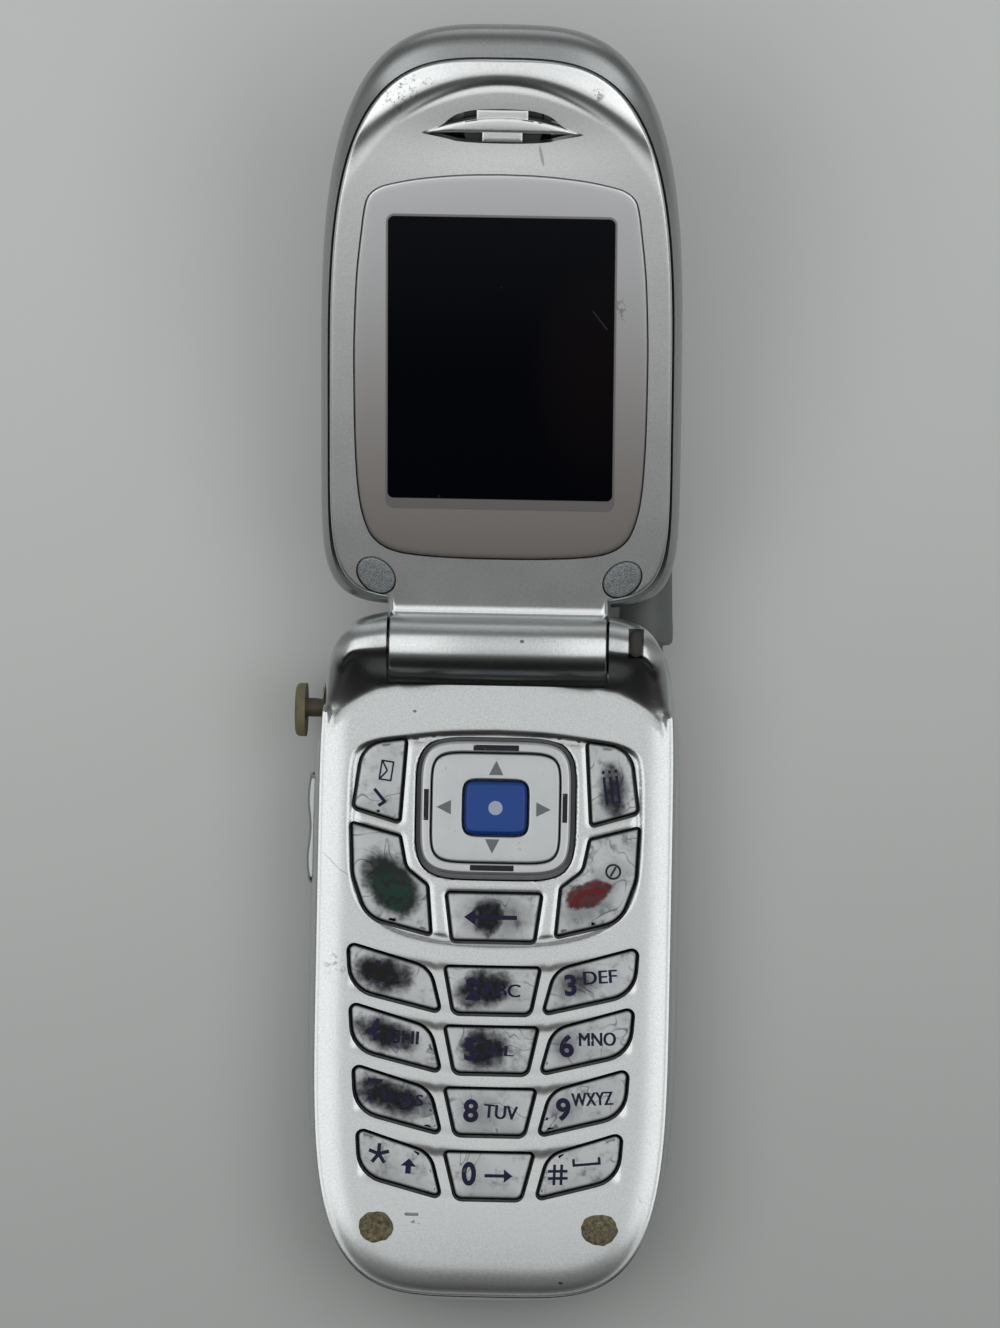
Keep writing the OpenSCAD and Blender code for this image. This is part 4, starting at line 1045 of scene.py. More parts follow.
class Growth(Tree):
    """A geometry tree with named inputs, and the mesh that it grows. Lengths are in millimetres."""

    def __init__(self, name):
        self.tree = bpy.data.node_groups.new(name, "GeometryNodeTree")
        for way in ("INPUT", "OUTPUT"):
            self.tree.interface.new_socket("Geometry", in_out=way, socket_type="NodeSocketGeometry")
        self.source, self.settings = self.tree.nodes.new("NodeGroupInput"), {}

    def ask(self, name, value):
        kind = "NodeSocketInt" if isinstance(value, int) else "NodeSocketFloat"
        item = self.tree.interface.new_socket(name, in_out="INPUT", socket_type=kind)
        self.settings[item.identifier] = value
        return Value(self, self.source.outputs[name])

    def point(self, x=0.0, y=0.0, z=0.0):
        return self.out("ShaderNodeCombineXYZ", [x, y, z])

    def turn(self, line):
        """Revolves a line of (radius, 0, height) points round Z."""
        place = self.out("GeometryNodeInputPosition")
        height = self.node("ShaderNodeSeparateXYZ", [place])
        kept = self.node("GeometryNodeCaptureAttribute", {"Geometry": line})
        kept.capture_items.new("FLOAT", "radius")
        self.tree.links.new(height.outputs[0], kept.inputs[1])
        curve = self.out("GeometryNodeMeshToCurve", [kept.outputs[0]])
        curve = self.out(
            "GeometryNodeSetPosition",
            {"Geometry": curve, "Position": self.point(0.0, 0.0, height.outputs[2])}
        )
        ring = self.out(
            "GeometryNodeCurvePrimitiveCircle", {"Resolution": self.ask("Sides", 48), "Radius": 1.0}
        )
        return self.out(
            "GeometryNodeCurveToMesh",
            {"Curve": curve, "Profile Curve": ring, "Scale": kept.outputs[1], "Fill Caps": True}
        )

    def grow(self, geometry, material, line=((0, 0, 0),)):
        """The tree's mesh, in metres, grown from a line of points."""
        geometry = self.out("GeometryNodeRealizeInstances", [geometry])
        geometry = self.out("GeometryNodeTransform", {"Geometry": geometry, "Scale": (MM, MM, MM)})
        geometry = self.out("GeometryNodeSetMaterial", {"Geometry": geometry, "Material": material})
        self.tree.links.new(geometry, self.tree.nodes.new("NodeGroupOutput").inputs[0])
        seed = bpy.data.meshes.new(self.tree.name)
        seed.from_pydata(
            [tuple(map(float, p)) for p in line], [(i, i + 1) for i in range(len(line) - 1)], []
        )
        thing = bpy.data.objects.new(self.tree.name, seed)
        bpy.context.scene.collection.objects.link(thing)
        modifier = thing.modifiers.new(self.tree.name, "NODES")
        modifier.node_group = self.tree
        for key, value in self.settings.items():
            modifier[key] = value
        graph = bpy.context.evaluated_depsgraph_get()
        mesh = bpy.data.meshes.new_from_object(thing.evaluated_get(graph), depsgraph=graph)
        bpy.data.objects.remove(thing)
        return mesh


def turned_line(profile):
    """A lathe's line from its (radius, place along the axis) pairs, with its steps spread a hair."""
    return [(r, 0, h + 0.004 * i) for i, (r, h) in enumerate(profile)]


# radius and place along the axis
STUB = [
    (0.9, -4), (2.2, -4), (2.25, -3.9), (2.25, 0.45), (3.0, 0.5), (3.2, 0.6), (3.45, 0.9), (3.5, 1.2),
    (3.5, 2.8), (3.45, 3.4), (3.4, 4.4), (3.28, 9), (3.1, 15.4), (3.0, 16.1), (2.75, 16.6), (2.4, 16.9),
    (1.6, 17), (0.9, 17),
]
WHIP = [
    (0.5, -60), (0.8, -59.7), (0.8, 17.2), (1.7, 17.2), (1.9, 17.35), (2.08, 17.7), (2.1, 18.1),
    (2.08, 18.9), (1.95, 19.4), (1.7, 19.75), (1.3, 19.98), (0.7, 20.08), (0.1, 20.1),
]


def antenna_place(growth, geometry):
    """Along the phone, at the antenna's seat."""
    place = growth.point(growth.ask("Seat X", 18.5), 0.0, growth.ask("Seat Z", 7.0))
    return growth.out(
        "GeometryNodeTransform",
        {"Geometry": geometry, "Translation": place, "Rotation": (-math.pi / 2, 0, 0)}
    )


class PHONE_OT_antenna(bpy.types.Operator):
    """Turn the antenna's stub and its pull-out whip"""

    bl_idname = "phone.antenna"
    bl_label = "Antenna"

    def execute(self, context):
        for node, profile, body, paint in (
            ("antenna_stub", STUB, "base", "antenna_grey"),
            ("antenna_whip", WHIP, "antenna_whip", "black_plastic")
        ):
            growth = Growth(node)
            turned_piece = antenna_place(growth, growth.turn(growth.source.outputs[0]))
            if node == "antenna_stub":
                bore = growth.out(
                    "GeometryNodeMeshCylinder",
                    {"Vertices": 32, "Radius": growth.ask("Bore", 0.9), "Depth": 60.0}
                )
                bore = antenna_place(growth, bore)
                turned_piece = growth.out(
                    "GeometryNodeMeshBoolean", [turned_piece, bore], operation="DIFFERENCE", solver="EXACT"
                )
            mesh = growth.grow(turned_piece, finish(paint), turned_line(profile))
            finished(mesh, node + "_turned", finish(paint), body, [node], paint, 40)
        return {"FINISHED"}


class PHONE_OT_spring(bpy.types.Operator):
    """Wind the hinge's spring"""

    bl_idname = "phone.spring"
    bl_label = "Hinge spring"

    def execute(self, context):
        low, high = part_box("hinge_spring")
        growth = Growth("hinge_spring")
        wire, r = growth.ask("Wire radius", 0.34), growth.ask("Coil radius", 2.3)
        span = growth.ask("Span", (high.x - low.x) / MM - 0.72)
        turns, start = growth.ask("Turns", 6), growth.ask("Start", low.x / MM + 0.36)
        coil = growth.out(
            "GeometryNodeCurveSpiral",
            {"Resolution": 36, "Rotations": turns, "Start Radius": r, "End Radius": r, "Height": span}
        )
        ring = growth.out("GeometryNodeCurvePrimitiveCircle", {"Resolution": 12, "Radius": wire})
        tube = growth.out(
            "GeometryNodeCurveToMesh", {"Curve": coil, "Profile Curve": ring, "Fill Caps": True}
        )
        tube = growth.out(
            "GeometryNodeTransform",
            {
                "Geometry": tube, "Translation": growth.point(start, 0.0, AXIS),
                "Rotation": (0, math.pi / 2, 0)
            }
        )
        finished(
            growth.grow(tube, finish("steel")), "hinge_spring_coil", finish("steel"), "lid",
            ["hinge_spring"], "steel", 50
        )
        return {"FINISHED"}


class PHONE_OT_screws(bpy.types.Operator):
    """Set the four cross-headed screws of the rear cover"""

    bl_idname = "phone.screws"
    bl_label = "Base screws"

    def execute(self, context):
        low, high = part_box("base_screws")
        profile = [
            (0.3, 1), (1.6, 1), (1.82, 1.1), (1.9, 1.35), (1.9, 2.2), (0.75, 2.2),
            (0.75, high.z / MM - 0.3), (0.4, high.z / MM - 0.1)
        ]
        growth = Growth("base_screws")
        screw = growth.turn(growth.source.outputs[0])
        for size in ((2.4, 0.4, 1.0), (0.4, 2.4, 1.0)):
            bit = growth.out("GeometryNodeMeshCube", {"Size": size})
            bit = growth.out("GeometryNodeTransform", {"Geometry": bit, "Translation": (0, 0, 1.0)})
            screw = growth.out(
                "GeometryNodeMeshBoolean", [screw, bit], operation="DIFFERENCE", solver="EXACT"
            )
        index = growth.number("GeometryNodeInputIndex")
        foot = growth.number("ShaderNodeMath", [index, 1.5], operation="GREATER_THAN")
        side = growth.number("ShaderNodeMath", [index, 2.0], operation="MODULO") * 2 - 1
        wider = growth.ask("Foot half", 13.0) - growth.ask("Head half", 10.0)
        x = side * (foot * wider + growth.ask("Half", 10.0))
        y = foot * growth.ask("Row distance", -68.0) + growth.ask("Head row", -9.0)
        points = growth.out("GeometryNodePoints", {"Count": 4, "Position": growth.point(x, y, 0.0)})
        turn = growth.node("FunctionNodeRandomValue", {"Seed": 7}, data_type="FLOAT")
        placed = growth.out(
            "GeometryNodeInstanceOnPoints",
            {"Points": points, "Instance": screw, "Rotation": growth.point(0.0, 0.0, turn.outputs[1])}
        )
        finished(
            growth.grow(placed, finish("steel"), turned_line(profile)), "base_screw_set", finish("steel"),
            "base", ["base_screws"], "steel", 40
        )
        return {"FINISHED"}


# ---------------------------------------------------------------- keys

KEY_TOP = 14.55


def row_of(i):
    """Distance of a row of number keys from the hinge's axis."""
    return 40.7 + 7.6 * i + 0.125 * i * (i - 1)


def middle_key(i):
    t, half, foot = row_of(i), 6.15 - 0.13 * i, 4.95 - 0.25 * i
    return [[foot, -t - 6.1, 1.1], [half, -t, 0.5], [-half, -t, 0.5], [-foot, -t - 6.1, 1.1]]


def right_key(i):
    t, out, inner = row_of(i), 18.5 - 0.35 * i - 0.06 * i * i, 6.4 - 0.15 * i
    return [
        [inner, -t - 6, 0.6], [out - 0.4, -t - 3.2, 3.9], [out, -t + 2.8, 0.8],
        [inner + 1.5, -t - 0.25, 3.3]
    ]


SOFT_KEY = [[12.1, -22.7, 0.5], [18.2, -20.9, 0.8], [17.1, -12.7, 3.4], [11.4, -11.9, 0.5]]
CALL_KEY = [
    [7.85, -36.9, 0.4], [16.2, -34.8, 4], [18.1, -29.4, 5], [18.4, -22.6, 0.4], [12, -24.3, 0.5],
    [11.2, -28.3, 2.2], [8.4, -30.5, 0.8]
]
BACK_KEY = [[5.3, -37.6, 0.7], [6.15, -31.3, 0.5], [-6.15, -31.3, 0.5], [-5.3, -37.6, 0.7]]


def key_corners():
    """Each key's corners, and whether they are mirrored."""
    keys = {
        "key_menu": (SOFT_KEY, False), "key_ok": (SOFT_KEY, True),
        "key_end": (CALL_KEY, False), "key_talk": (CALL_KEY, True), "key_back": (BACK_KEY, False),
    }
    rows = ("1", "2", "3"), ("4", "5", "6"), ("7", "8", "9"), ("star", "0", "hash")
    for i, (left, middle, right) in enumerate(rows):
        keys["key_" + left] = (right_key(i), True)
        keys["key_" + middle] = (middle_key(i), False)
        keys["key_" + right] = (right_key(i), False)
    return keys


EDGE_STEPS = (0, 0.06, 0.18, 0.36, 0.6, 0.85, 1)  # insets across a rounded edge, in parts of its radius


class PHONE_OT_keys(bpy.types.Operator):
    """Make the number, call and soft keys"""

    bl_idname = "phone.keys"
    bl_label = "Keys"

    def execute(self, context):
        s = context.scene.phone_sizes
        for node, (corners, flip) in key_corners().items():
            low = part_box(node)[0].z / MM
            loops = family(corners, [s.key_bevel * f for f in EDGE_STEPS], 0.5, flip)
            shape = relief(loops, crowned(loops[0], KEY_TOP, s.key_bevel, s.key_crown), low, spacing=0.6)[0]
            shape.object(node + "_cap", finish("key_silver"), node, [node], "key_silver", sharp=60)
        return {"FINISHED"}


NAV = (0.0, -20.6)


def nav_egg(rx, ry, n, steps=30):
    return egg(rx, NAV[1], NAV[1] - ry, NAV[1] + ry, n, n, steps)


def arrow(x, y, half, tall, turn):
    """Triangle with its point towards turn degrees, counter-clockwise."""
    return turned([[0, tall / 2], [-half, -tall / 2], [half, -tall / 2]], turn, x, y)


NAV_LOOPS = (nav_egg(9.6, 8.5, 5.2), nav_egg(8.2, 7.0, 6.5), nav_egg(4.05, 3.45, 6.5))


def nav_parts():
    """The ring, the plate and the middle key: {node: (outline, hole, radius of the edge, height)}."""
    ring, plate, select = NAV_LOOPS

    def holed(outline, hole, top, bevel, reach):
        over = crowned(outline, top, bevel, 0.06, reach)
        return outline, hole, bevel, lambda p: over(p) - shoulder(np.maximum(-inside(p, hole), 0), 0.2)

    return {
        "nav_ring": holed(ring, swell(plate, 0.1), KEY_TOP - 0.02, 0.45, 1.0),
        "nav_plate": holed(plate, swell(select, 0.18), KEY_TOP - 0.2, 0.35, 2.0),
        "key_select": (select, None, 0.6, crowned(select, KEY_TOP + 0.12, 0.6, 0.06, 3.4)),
    }


class PHONE_OT_navigation(bpy.types.Operator):
    """Make the four-way ring, its inner plate and the key in the middle"""

    bl_idname = "phone.navigation"
    bl_label = "Four-way ring"

    def execute(self, context):
        for node, (outline, hole, bevel, height) in nav_parts().items():
            loops = rims_of(outline, [bevel * f for f in EDGE_STEPS])
            holes = [] if hole is None else [rims_of(hole, (0, -0.02, -0.06, -0.13, -0.2))]
            shape = relief(loops, height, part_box(node)[0].z / MM, holes, spacing=0.45)[0]
            look, slot = ("key_blue", "key_blue") if node == "key_select" else ("nav_silver", "key_silver")
            shape.object(node + "_cap", finish(look), node, [node], slot, sharp=50)
        return {"FINISHED"}


# ---------------------------------------------------------------- print

DIGITS = [
    # node, text, middle x, middle y, height, width or 0, turn
    ("key_1", "1", -14.6, -41.7, 2.9, 0, -4), ("key_2", "2", -2.4, -43.6, 2.85, 0, 0),
    ("key_3", "3", 9.95, -42.9, 2.75, 0, 4),
    ("key_4", "4", -15.0, -49.0, 2.8, 0, -4), ("key_5", "5", -2.5, -51.3, 2.95, 0, 0),
    ("key_6", "6", 9.6, -50.6, 2.95, 0, 3),
    ("key_7", "7", -14.7, -56.7, 2.9, 0, -5), ("key_8", "8", -2.4, -59.1, 2.95, 0, 0),
    ("key_9", "9", 9.35, -58.7, 2.95, 0, 3),
    ("key_0", "0", -2.5, -67.1, 3.05, 1.85, 0),
]
LETTERS = [
    ("key_2", "ABC", 1.2, -43.7, 1.65, 4.7, -2), ("key_3", "DEF", 13.7, -41.8, 1.65, 4.2, 5),
    ("key_4", "GHI", -11.2, -49.9, 1.7, 3.9, -3), ("key_5", "JKL", 0.9, -51.6, 1.7, 3.9, -2),
    ("key_6", "MNO", 13.5, -49.7, 1.7, 4.6, 2), ("key_7", "PQRS", -11.0, -57.9, 1.7, 4.9, -4),
    ("key_8", "TUV", 1.4, -59.2, 1.75, 4.2, -4), ("key_9", "WXYZ", 13.0, -57.3, 1.7, 5.2, 4),
]


def letters(text, bold):
    """Points and faces of the text, one unit thick."""
    data = bpy.data.curves.new("print", "FONT")
    data.body, data.size, data.extrude, data.offset, data.resolution_u = text, 1, 0.5, bold, 5
    thing = bpy.data.objects.new("print", data)
    bpy.context.scene.collection.objects.link(thing)
    mesh = bpy.data.meshes.new_from_object(thing.evaluated_get(bpy.context.evaluated_depsgraph_get()))
    verts = np.array([tuple(v.co) for v in mesh.vertices])
    faces = [tuple(f.vertices) for f in mesh.polygons]
    bpy.data.objects.remove(thing)
    bpy.data.curves.remove(data)
    bpy.data.meshes.remove(mesh)
    return verts, faces


def bar(x0, y0, x1, y1, wide):
    """Straight stroke with square ends."""
    a, b = np.array([x0, y0], float), np.array([x1, y1], float)
    n = np.array([a[1] - b[1], b[0] - a[0]]) / np.linalg.norm(b - a) * wide / 2
    return np.array([a - n, b - n, b + n, a + n])


def hoop(r, wide, n=36):
    return round_points(n) * r, round_points(n) * (r - wide)


def handset():
    """Telephone receiver lying on its back, about 5 by 2."""
    a = np.radians(np.linspace(205, 335, 15))
    outer = np.stack([2.75 * np.cos(a), 1.5 + 2.3 * np.sin(a)], 1)
    inner = np.stack([1.5 * np.cos(a[::-1]), 1.1 + 1.05 * np.sin(a[::-1])], 1)
    return np.concatenate(
        [outer, [[2.7, 0.95], [1.35, 1.0]], inner, [[-1.35, 1.0], [-2.7, 0.95]]]
    ) * [1, 0.85]


def signs():
    """Plain signs in place of the words: node, ink, outline, holes, turn and place."""
    out = []

    def add(node, ink, shapes, turn, x, y):
        for shape in shapes:
            outline, holes = shape if isinstance(shape, tuple) else (shape, ())
            out.append((node, ink, turned(outline, turn, x, y), [turned(h, turn, x, y) for h in holes]))

    frame_out, frame_in = slab(1.3, -0.85, 0.85, 0.15), slab(1.08, -0.63, 0.63, 0.08)
    add(
        "key_ok", "navy_ink",
        [(frame_out, [frame_in]), bar(-1.1, 0.65, 0, -0.12, 0.22), bar(0, -0.12, 1.1, 0.65, 0.22)], 82,
        -13.95, -16.1
    )
    add(
        "key_ok", "navy_ink", [bar(-1.0, 0.0, -0.3, -0.75, 0.42), bar(-0.42, -0.8, 1.05, 0.85, 0.42)], 82,
        -14.75, -19.6
    )
    rows = [bar(x0, y, x1, y, 0.36) for x0, x1 in ((-1.6, 1.9), (-2.4, -2.0)) for y in (-0.8, 0, 0.8)]
    add("key_menu", "navy_ink", rows, -82, 14.7, -17.9)
    add("key_talk", "green_ink", [handset()], -24, -13.4, -31.2)
    add("key_end", "red_ink", [turned(handset(), 180) * [0.95, 0.9]], 26, 11.7, -31.4)
    ring, hole = hoop(1.02, 0.27)
    add("key_end", "bar_ink", [(ring, [hole]), bar(-0.35, -0.62, 0.35, 0.62, 0.26)], 0, 15.1, -28.4)
    add("key_back", "navy_ink", [arrow(-2.7, 0, 1.05, 1.5, 90), bar(-2.0, 0, 3.3, 0, 0.55)], 0, -0.3, -34.5)
    points = [(1.35 * math.cos(a), 1.35 * math.sin(a)) for a in np.radians((90, 18, -54, -126, 162))]
    star = [bar(0, 0, *point, 0.46) for point in points]
    add("key_star", "navy_ink", star, -3, -14.0, -64.8)
    add("key_star", "navy_ink", [arrow(0, 0.5, 1.0, 1.0, 0), bar(0, 0.1, 0, -0.95, 0.7)], -4, -10.2, -66.3)
    add("key_0", "navy_ink", [bar(-1.7, 0, 0.9, 0, 0.42), arrow(1.3, 0, 0.85, 1.1, -90)], 0, 1.2, -67.3)
    hatch = [bar(-1.25, y, 1.25, y, 0.36) for y in (-0.45, 0.45)]
    hatch += [bar(x - 0.08, -1.3, x + 0.08, 1.3, 0.36) for x in (-0.45, 0.45)]
    add("key_hash", "navy_ink", hatch, 2, 8.8, -67.0)
    add(
        "key_hash", "navy_ink",
        [
            bar(-1.8, -0.4, 1.8, -0.4, 0.34), bar(-1.63, -0.25, -1.63, 0.4, 0.34),
            bar(1.63, -0.25, 1.63, 0.4, 0.34)
        ],
        6, 12.4, -65.2
    )
    for node, x, y, turn in (
        ("up", 0, -15.5, 0), ("down", -0.35, -25.5, 180), ("left", -6.6, -20.6, 90),
        ("right", 6.1, -20.7, -90)
    ):
        out.append(("nav_plate", "arrow_ink", arrow(x, y, 0.92, 1.85, turn), []))
    for x0, x1, y0, y1 in (
        (-2.95, 2.85, -13.32, -12.6), (-3.1, 2.45, -28.6, -27.88), (-9.13, -8.5, -22.3, -18.35),
        (8.5, 9.13, -22.3, -18.6)
    ):
        out.append(("nav_ring", "bar_ink", np.array([[x0, y0], [x1, y0], [x1, y1], [x0, y1]]), []))
    out.append(("key_select", "dot_ink", oval(0, -20.6, 0.9, 0.9, 40), []))
    return out


class PHONE_OT_print(bpy.types.Operator):
    """Put the digits, letters and signs on the keys"""

    bl_idname = "phone.print"
    bl_label = "Key print"

    def execute(self, context):
        s = context.scene.phone_sizes
        heights = {node: height for node, (_, _, _, height) in nav_parts().items()}
        for node, (corners, flip) in key_corners().items():
            heights[node] = crowned(family(corners, [0], 0.5, flip)[0], KEY_TOP, s.key_bevel, s.key_crown)
        pieces, ink_root = {}, 0.05
        # The letters are drawn twice, a hair apart, because a bolder outline breaks them.
        words = [(*word, 0.035, 0) for word in DIGITS]
        words += [(*word, 0, side) for word in LETTERS for side in (-0.07, 0.07)]
        for node, text, x, y, tall, wide, turn, bold, side in words:
            verts, faces = letters(text, bold)
            flat = verts[:, :2] - (verts[:, :2].min(0) + verts[:, :2].max(0)) / 2
            span = np.ptp(flat, axis=0)
            flat = flat * [wide / span[0] if wide else tall / span[1], tall / span[1]]
            flat = turned(flat, turn, x + side, y)
            z = heights[node](flat) + np.where(verts[:, 2] > 0, s.ink_height, -ink_root)
            shape = pieces.setdefault((node, "navy_ink"), Shape())
            ids = shape.points(np.column_stack([flat, z]))
            shape.faces += [tuple(ids[i] for i in f) for f in faces]
        for node, ink, outline, holes in signs():
            shape = pieces.setdefault((node, ink), Shape())
            high = heights[node]
            outline, holes = spaced(outline, 0.5), [spaced(h, 0.5) for h in holes]
            rims = [outline], lambda p: high(p) + s.ink_height, 0, [[h] for h in holes]
            _, edge, mouths = relief(*rims, (), 0.5, shape, base=False)
            low = shape.skin(triangles(outline, holes, (), 0.5), lambda p: high(p) - ink_root, up=False)
            shape.wall(low[0], edge)
            for mouth, below in zip(mouths, low[1:]):
                shape.wall(mouth, below)
        for (node, ink), shape in pieces.items():
            shape.object(f"{node}_{ink}", finish(ink), node, (), "key_silver", merge=True)
        return {"FINISHED"}


# ---------------------------------------------------------------- base, front cover


def base_ring(in_side, in_foot, in_head, mix, steps=110):
    return egg(23.5 - in_side, -40, in_foot - 83.4, 4.2 - in_head, 3.5 + 0.75 * mix, 4.2 + 3.3 * mix, steps)


FACE_EDGE = base_ring(0.92, 0.56, 0, 0.93)
FACE_RINGS = [
    # height, inset at the sides, at the foot, at the head, squareness
    (7.62, 0.16, 0.16, 0, 0), (7.75, 0.03, 0.03, 0, 0), (9.5, 0, 0, 0, 0.05), (11, 0, 0, 0, 0.2),
    (12, 0.13, 0.08, 0, 0.4), (13.0, 0.45, 0.28, 0, 0.68), (13.4, 0.66, 0.4, 0, 0.82),
]
ROW_CURVE = 18.5  # half width at which a row of keys has risen by its full bow


def row_reach(i):
    """Half width of a row's trough."""
    return 19.0 - 0.35 * i - 0.06 * i * i


def row_trough(i):
    """The curved trough that row i of the keys stands in."""
    t, reach = row_of(i), row_reach(i)
    x = np.linspace(reach, -reach, 41)
    top = np.stack([x, -t + 0.4 + 2.8 * (x / ROW_CURVE) ** 2], 1)
    bottom = np.stack([x[::-1], -t - 6.6 + 2.9 * (x[::-1] / ROW_CURVE) ** 2], 1)
    return np.concatenate([top, bottom])


def cluster_recess():
    """Edge of the recess round the ring and the soft and call keys."""
    half = [
        (0, -10.55), (6, -10.75), (11, -11.3), (15.6, -12.0), (18.1, -13.4), (18.8, -16), (18.95, -20.5),
        (18.95, -25), (18.5, -30.2), (16.9, -34), (13.4, -36.6), (9, -37.9), (4.5, -38.45), (0, -38.6),
    ]
    right = catmull(half, 4)
    return np.concatenate([mirrored(right)[1:], right[1:]])[::-1]


RECESS = cluster_recess()
EAR_CREST = [
    # x, y, height and radius of the balls along the ear's crest
    (12.0, 0.05, 14.6, 4.34), (14.1, 0.0, 14.6, 4.3), (17.5, -0.7, 14.6, 3.87), (19.5, -2.5, 14.4, 2.5),
    (21.3, -7.9, 13.8, 0.75)
]
EAR_FOOT = [(12.4, -6.3), (13.3, -6.5), (16, -7.2), (18, -8.2), (19.5, -9.3), (21, -10.5), (22.4, -12)]
EAR_FOOT = even(catmull(EAR_FOOT, 6), 0.3)
EAR_ROOM = np.concatenate([EAR_FOOT, [[30, -12], [30, 30], [-30, 30], [-30, -6.2]]])


def ear_height(p):
    """Height of the rounded ears at the head.

    Balls of changing size run along the crest, and a slope goes down from it to the foot."""
    crest = catmull(EAR_CREST, 10)
    q = np.column_stack([np.abs(p[:, 0]), p[:, 1]])
    ball, near = np.full(len(p), -5.0), np.full(len(p), 99.0)
    for a, b in zip(crest, crest[1:]):
        span = b[:2] - a[:2]
        t = np.clip((q - a[:2]) @ span / (span @ span), 0, 1)
        d = np.linalg.norm(q - a[:2] - t[:, None] * span, axis=1)
        r, z = a[3] + t * (b[3] - a[3]), a[2] + t * (b[2] - a[2])
        over = np.sqrt(np.maximum(r * r - d * d, 0)) - np.where(d > r, 1.25 * (d - r), 0)
        ball = np.maximum(ball, z + over)
        near = np.minimum(near, d)
    weight = (np.linalg.norm(q[:, None, :] - crest[None, :, :2], axis=2) + 0.05) ** -3.0
    top = (weight * (crest[:, 2] + crest[:, 3])).sum(1) / weight.sum(1)
    to_foot = inside(q, EAR_ROOM, 12)
    t = np.clip(to_foot / np.maximum(near + to_foot, 0.01), 0, 1)
    slope = 14.1 + (top - 14.1) * ease(t) ** 1.05
    slope = np.where(to_foot < 0, 14.1 + 1.2 * to_foot, slope)
    front = inside(q, np.concatenate([crest[:, :2], [[22.6, -13], [-30, -13], [-30, 0.05]]]), 2)
    return ball + (slope - ball) * ease((front + 0.3) / 0.9)


def face_height(p, gaps, settings):
    """Height of the base's face."""
    x, y = p[:, 0], p[:, 1]
    d = inside(p, FACE_EDGE, 1.0)
    r = settings.edge_radius
    z = FACE - 0.4 * (1 - np.clip((d - 0.6) / r, 0, 1)) ** 2 - shoulder(d, 0.25)
    z = z - 0.6 * np.clip((-y - 70.5) / 12.9, 0, 1) ** 2
    low = np.zeros(len(p))
    gap = np.min([-inside(p, h) for h in gaps[:-1]], 0)
    for i in range(4):
        depth = 1.2 + inside(p, swell(row_trough(i), -1.2))
        trough = settings.trough_depth * ease(depth / 1.7) * ease((1.7 - gap) / 1.3)
        low = np.maximum(low, trough * ease((row_reach(i) - np.abs(x)) / 1.8))
    depth = inside(p, RECESS)
    ridge = ease((gap + 0.6) / 1.2) * ease((depth - 0.9) / 0.9)
    low = np.maximum(low, 0.4 * ease(depth / 0.95) * (1 - 0.6 * ridge))
    round_ring = np.clip((-inside(p, gaps[-1])) / 0.55, 0, 1)
    low = np.maximum(low, 0.55 * (1 - round_ring) ** 2 * (depth > 0))
    z = z - low * (d > 0.6)
    edge = 0.55 * (1 - np.clip((22.6 - np.abs(x)) / 3.0, 0, 1)) ** 2
    back = np.clip((y + 1.5) / 5.5, 0, 1) ** 2 * 1.3
    plate = np.where(y > -6, np.minimum(z, 14.3 - edge - back), z)
    return np.where(y > -14, soft_max(ear_height(p), plate, 0.3), plate)


def strap_slot():
    """The hand strap's slot with its round ends."""
    shape, loop = Shape(), slab(0.8, -1.7, 1.7, 0.75, 10) + STRAP_SPOT
    return shape.bar(*(shape.level(loop, z) for z in (12.0, 22.0)))


def face_room(steps=60):
    """Outline of the room under the face."""
    return egg(21.4, -42, -81.6, -6.6, 3.6, 8, steps)


